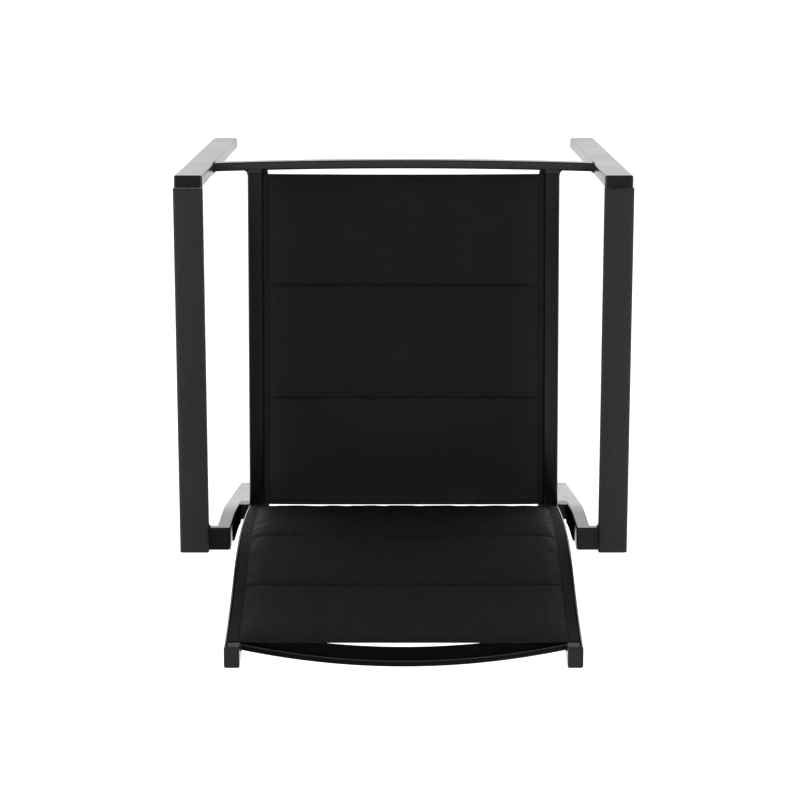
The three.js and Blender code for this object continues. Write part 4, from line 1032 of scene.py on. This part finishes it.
class Sling:
    """The rows and columns of one sling, and the height of its cloths."""

    def __init__(self, place, slit, pad_half, start, end, seam_shares, rise, slack):
        self.place, self.slit, self.pad_half = place, slit, pad_half
        self.start, self.end, self.rise, self.slack = start, end, rise, slack
        self.seams = [start + HEM + share * (end - start - 2 * HEM) for share in seam_shares]
        self.rows = [start + d for d in HEM_ROWS]
        for low, high in zip(self.seams, self.seams[1:]):
            self.rows += [low, *crowded(low, high, BESIDE_SEAM, ROW_STEP)]
        self.rows += [self.seams[-1]] + [end - d for d in reversed(HEM_ROWS)]
        half = [0, *crowded(0, pad_half, BESIDE_SIDE, COLUMN_STEP)[len(BESIDE_SIDE):], pad_half]
        half += list(np.linspace(pad_half, slit - TURN_START, MARGIN_STEPS + 1)[1:])
        self.across = [-x for x in reversed(half[1:])] + half

    def drawn(self, x, run):
        """How far the thread draws the first edge in, and how far the other stands out."""
        share = min(1, abs(x) / self.pad_half)
        if run <= self.seams[0] + HAIR:
            return EDGE_DRAW * (1 - share**2)
        return self.slack * (1 - share**6) if run >= self.seams[-1] - HAIR else 0

    def from_seam(self, run, seams=slice(None)):
        """How far a row is from the nearest seam."""
        return min(abs(run - seam) for seam in self.seams[seams])

    def gathered(self, x, run, upper):
        """Puckers beside the nearest seam and beside the side's seam."""
        at_seam = math.exp(-self.from_seam(run) / PUCKER)
        at_side = math.exp(-abs(abs(x) - self.pad_half) / PUCKER)
        seam_puckers = SEAM_PUCKERS * ripple(x, 0.1 * run, 95, 2.7 if upper else 5.1)
        return seam_puckers * at_seam + SIDE_PUCKERS * ripple(0.1 * x, run, 80, 8.3) * at_side

    def lift(self, x, run, upper):
        """How high above the rails a cloth lies."""
        flat, inside = GAP + CLOTH * upper, self.pad_half - abs(x)
        if run in (self.start, self.end):
            return EDGE_LIFT[upper]
        if run < self.seams[0] or run > self.seams[-1]:
            return flat + HEM_LIFT[upper] * min(1, max(0, inside) / HEM_FADE)
        if inside < 0:
            taut = math.sin(math.pi * (self.slit - abs(x)) / (self.slit - self.pad_half))
            return flat + TAUT_RIPPLES * taut * ripple(x, run, 100, 3.1) * upper
        to_hem = min(run - self.seams[0], self.seams[-1] - run)
        side = 1 - math.exp(-inside / SIDE_SHOULDER)
        if to_hem < HAIR:
            return flat + HEM_SEAM_LIFT[upper] * side
        to_seam = self.from_seam(run, slice(1, -1))
        caught = 1 - (1 - CAUGHT) * math.exp(-to_seam / SHOULDER)
        full = caught * side * (1 - math.exp(-to_hem / HEM_SHOULDER))
        swell = (self.rise if upper else -DROP - CLOTH) * full
        sunk = SUNK * ripple(x, run, 150, 6.2) * math.exp(-to_seam / SUNK_WITHIN) * side * upper
        gathers = self.gathered(x, run, upper) * (side if upper else PUCKERS_BELOW)
        return flat + swell + sunk + UNEVEN * ripple(x, run, 20, 4.4) * full + gathers

    def points(self, upper):
        """For each column and row: the place on the cloth, and the place on the flat fabric."""
        turn = [(d * MM, h * MM) for d, h in (UPPER_TURN if upper else LOWER_TURN)]
        folded = [(self.slit - d, h) for d, h in turn]
        columns = [(-x, h) for x, h in reversed(folded)]
        columns += [(x, None) for x in self.across] + folded
        for i, (x, height) in enumerate(columns):
            for j, run in enumerate(self.rows):
                lift = self.lift(x, run, upper) if height is None else height
                spare = 0 if height is None else math.copysign(abs(height), x)
                moved = run + self.drawn(x, run)
                yield i, j, self.place(x, lift, moved), (x + spare, run)


# %% [markdown]
# The grid operator makes both cloths, whose points are then moved. A vertex group says which
# points the stuffing may not move: the seams, the hems, the margins and the folds in the slits.

# %% From rows and columns to a sling
PRESSED_AND_SHADED = 3.6  # how much darker than a margin the mesh is on a seam and in a slit: squeezed cloth and painted shade
IN_SLIT = 4 * MM


def sewn(name, sling):
    """Makes the two cloths of a sling, joined round their edge."""
    mesh = bmesh.new()
    wide, long = len(sling.across) + 2 * TURNS, len(sling.rows)
    held = mesh.verts.layers.deform.verify()
    margin_tone_and_seam_shade = mesh.verts.layers.float.new("margin_tone_and_seam_shade")
    uv = mesh.loops.layers.uv.new("cloth")
    on_fabric = {}
    for upper in (True, False):
        made = bmesh.ops.create_grid(mesh, x_segments=wide - 1, y_segments=long - 1, size=0.5)
        at = {
            (round((v.co.x + 0.5) * (wide - 1)), round((v.co.y + 0.5) * (long - 1))): v
            for v in made["verts"]
        }
        for i, j, place, flat in sling.points(upper):
            at[i, j].co = place
            on_fabric[at[i, j]] = flat
            run, beside = sling.rows[j], abs(flat[0])
            inside = sling.seams[0] < run < sling.seams[-1] and beside < sling.pad_half - HAIR
            on_seam = inside and sling.from_seam(run) < HAIR
            on_side = abs(beside - sling.pad_half) < HAIR
            # Seams, the pad's sides and the slits get the painted shade, and the margins only
            # their darker tone.
            pressed_and_shaded = on_seam or on_side or beside > sling.slit - IN_SLIT
            at[i, j][held][0] = 0.0 if inside and not on_seam else 1.0
            at[i, j][margin_tone_and_seam_shade] = PRESSED_AND_SHADED if pressed_and_shaded else 0.0 if inside else 1.0
    bmesh.ops.bridge_loops(mesh, edges=[e for e in mesh.edges if e.is_boundary])
    bmesh.ops.recalc_face_normals(mesh, faces=mesh.faces)
    for face in mesh.faces:
        for loop in face.loops:
            loop[uv].uv = on_fabric[loop.vert]
    piece = shown_piece(name, mesh, cloth)
    piece.vertex_groups.new(name="held")
    return piece


seat_cloth_low, seat_cloth_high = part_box("seat_sling_top")
seat_lines = Sling(
    seat_place, slit_outer, SEAT_HALF - SEAT_PAD_INSET, seat_cloth_low.y, seat_cloth_high.y,
    SEAT_SEAMS, SEAT_RISE, SEAT_SLACK,
)
back_lines = Sling(
    back_place, back_rail_high.x - BACK_SLIT_INSET, back_rail_high.x - BACK_PAD_INSET,
    BACK_LOWER_SLOT, back_length - BACK_UPPER_SLOT, BACK_SEAMS, BACK_RISE, BACK_SLACK,
)
seat = sewn("seat_sling", seat_lines)
back = sewn("back_sling", back_lines)
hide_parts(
    "seat_sling_top", "seat_sling_backing", "seat_foam_front", "seat_foam_middle",
    "seat_foam_rear",
)
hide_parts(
    "back_sling_top", "back_sling_backing", "back_foam_lower", "back_foam_middle",
    "back_foam_upper",
)

# %% [markdown]
# ## Stuffing
# Foam presses the two cloths apart, so the slings are blown up a little by a cloth simulation
# that starts from a slightly slimmer shape. The seams, hems and margins are held. No point may
# move further than about a millimetre, and the result is kept in the mesh, so that no
# simulation is left on the piece.

# %% A short cloth simulation
FRAMES, FURTHEST = 20, 1.1 * MM
FABRIC = {
    "quality": 5, "mass": 0.002, "air_damping": 4, "tension_stiffness": 12,
    "compression_stiffness": 12, "shear_stiffness": 12, "bending_stiffness": 0.4,
    "use_pressure": True, "uniform_pressure_force": 1.5, "shrink_min": -0.006,
    "vertex_group_mass": "held",
}


def stuff(pieces):
    """Blows the pieces up between their seams, and keeps the result."""
    for piece in pieces:
        stuffing = piece.modifiers.new("stuffing", "CLOTH")
        stuffing.point_cache.frame_start, stuffing.point_cache.frame_end = 1, FRAMES
        for setting, value in FABRIC.items():
            setattr(stuffing.settings, setting, value)
        stuffing.settings.effector_weights.gravity = 0
        stuffing.collision_settings.use_collision = False
    for step in range(1, FRAMES + 1):
        scene.frame_set(step)
    blown = bpy.context.evaluated_depsgraph_get()
    for piece in pieces:
        before, after = piece.data.vertices, piece.evaluated_get(blown).to_mesh().vertices
        moves = [new.co - old.co for new, old in zip(after, before)]
        for point, move in zip(before, moves):
            far = max(move.length, 1e-9)
            point.co += move * (FURTHEST / far * math.tanh(far / FURTHEST))
        print(piece.name, "moved up to", round(max(m.length for m in moves) / MM, 2), "mm")
        piece.evaluated_get(blown).to_mesh_clear()
        piece.modifiers.remove(piece.modifiers["stuffing"])
    scene.frame_set(1)


stuff([seat, back])
for piece in (seat, back):
    finer = piece.modifiers.new("finer", "SUBSURF")
    finer.levels = finer.render_levels = 1

# %% [markdown]
# ## Loops and rods
# A loop of the sling's cloth goes round each rod, inside the rail's channel. Each is a tube
# with a wall as thick as the cloth, so a circle is carried along the rod and given thickness.

# %% Loops round the rods
ROD_ROUND, LOOP_ROUND, ROD_INSET, ROD_DEPTH = 2 * MM, 3.2 * MM, 3.4 * MM, 4.9 * MM
ROUND_SIDES = 20


def along_slit(sling, radius, spans, closed):
    """A round tube or rod along the left slit of a sling."""
    mesh = bmesh.new()
    bmesh.ops.create_circle(mesh, segments=ROUND_SIDES, radius=radius)
    runs = np.linspace(sling.start, sling.end, spans + 1)

    def place(x, y, k):
        return sling.place(sling.slit - ROD_INSET + x, y - ROD_DEPTH, runs[k])

    return carry(mesh, spans, place, closed)


for name, sling, spans in (("seat", seat_lines, 1), ("back", back_lines, 40)):
    loop = along_slit(sling, LOOP_ROUND, spans, closed=False)
    bmesh.ops.solidify(loop, geom=loop.faces[:], thickness=CLOTH)
    bmesh.ops.recalc_face_normals(loop, faces=loop.faces)
    both_sides(f"{name}_edge_loop", loop, cloth)
    core = along_slit(sling, ROD_ROUND, spans, closed=True)
    both_sides(f"{name}_rod", core, rod, [f"{name}_edge_rod"], FINE_EDGE)

# %% [markdown]
# ## Stitches
# The seams are lock-stitched in black thread. Every stitch is a small stretched ball of a few
# dozen faces, laid on the cloth where the cloth really is: the nearest point of the finished
# piece is looked up, from a little above for the upper thread and from below for the lower.

# %% Stitches
STITCH, STITCH_PITCH, THREAD = 2.7 * MM, 3.3 * MM, 0.6 * MM
STITCH_SIDES, STITCH_RINGS, BALL = 6, 4, 0.25
SOUGHT_FROM = 2 * MM


def seam_of_stitches(sling, cloth_now, start, end, lift):
    """The stitches from start to end, each (x, run), on the upper or the lower cloth."""
    mesh = bmesh.new()
    bmesh.ops.create_uvsphere(mesh, u_segments=STITCH_SIDES, v_segments=STITCH_RINGS, radius=BALL)
    across, along = end[0] - start[0], end[1] - start[1]
    length = math.hypot(across, along)
    count = round(length / STITCH_PITCH)
    bmesh.ops.spin(
        mesh, geom=mesh.verts[:] + mesh.edges[:] + mesh.faces[:], axis=(0, 0, 1), dvec=(0, 0, 1),
        angle=0, steps=count - 1, use_duplicate=True,
    )
    places = []
    for k in range(count):
        share = (k + 0.5) / count
        x, run = start[0] + across * share, start[1] + along * share
        run += sling.drawn(x, run)
        reach = sling.place(x + across / length * MM, 0, run + along / length * MM)
        way = (reach - sling.place(x, 0, run)).normalized()
        at, normal, _, _ = cloth_now.find_nearest(sling.place(x, lift, run))
        side = way.cross(normal).normalized()
        places.append((at, side * THREAD / 2, normal * THREAD / 2, way * STITCH / 2))
    for v in mesh.verts:
        k = round(v.co.z)
        at, side, up, way = places[k]
        v.co = at + side * (v.co.x / BALL) + up * (v.co.y / BALL) + way * ((v.co.z - k) / BALL)
    bmesh.ops.recalc_face_normals(mesh, faces=mesh.faces)
    return mesh


def stitched(name, piece, sling):
    """Every stitch of one sling, as one object."""
    cloth_now = BVHTree.FromObject(piece, bpy.context.evaluated_depsgraph_get())
    half, first, last = sling.pad_half, sling.seams[0], sling.seams[-1]
    lines = [((-half, run), (half, run)) for run in sling.seams]
    lines += [((x, first), (x, last)) for x in (-half, half)]
    stitches, holder = bmesh.new(), bpy.data.meshes.new("one_seam")
    for start, end in lines:
        for lift in (SOUGHT_FROM, -SOUGHT_FROM):
            line = seam_of_stitches(sling, cloth_now, start, end, lift)
            line.to_mesh(holder)
            line.free()
            stitches.from_mesh(holder)
    bpy.data.meshes.remove(holder)
    shown_piece(name, stitches, thread)


stitched("seat_stitches", seat, seat_lines)
stitched("back_stitches", back, back_lines)
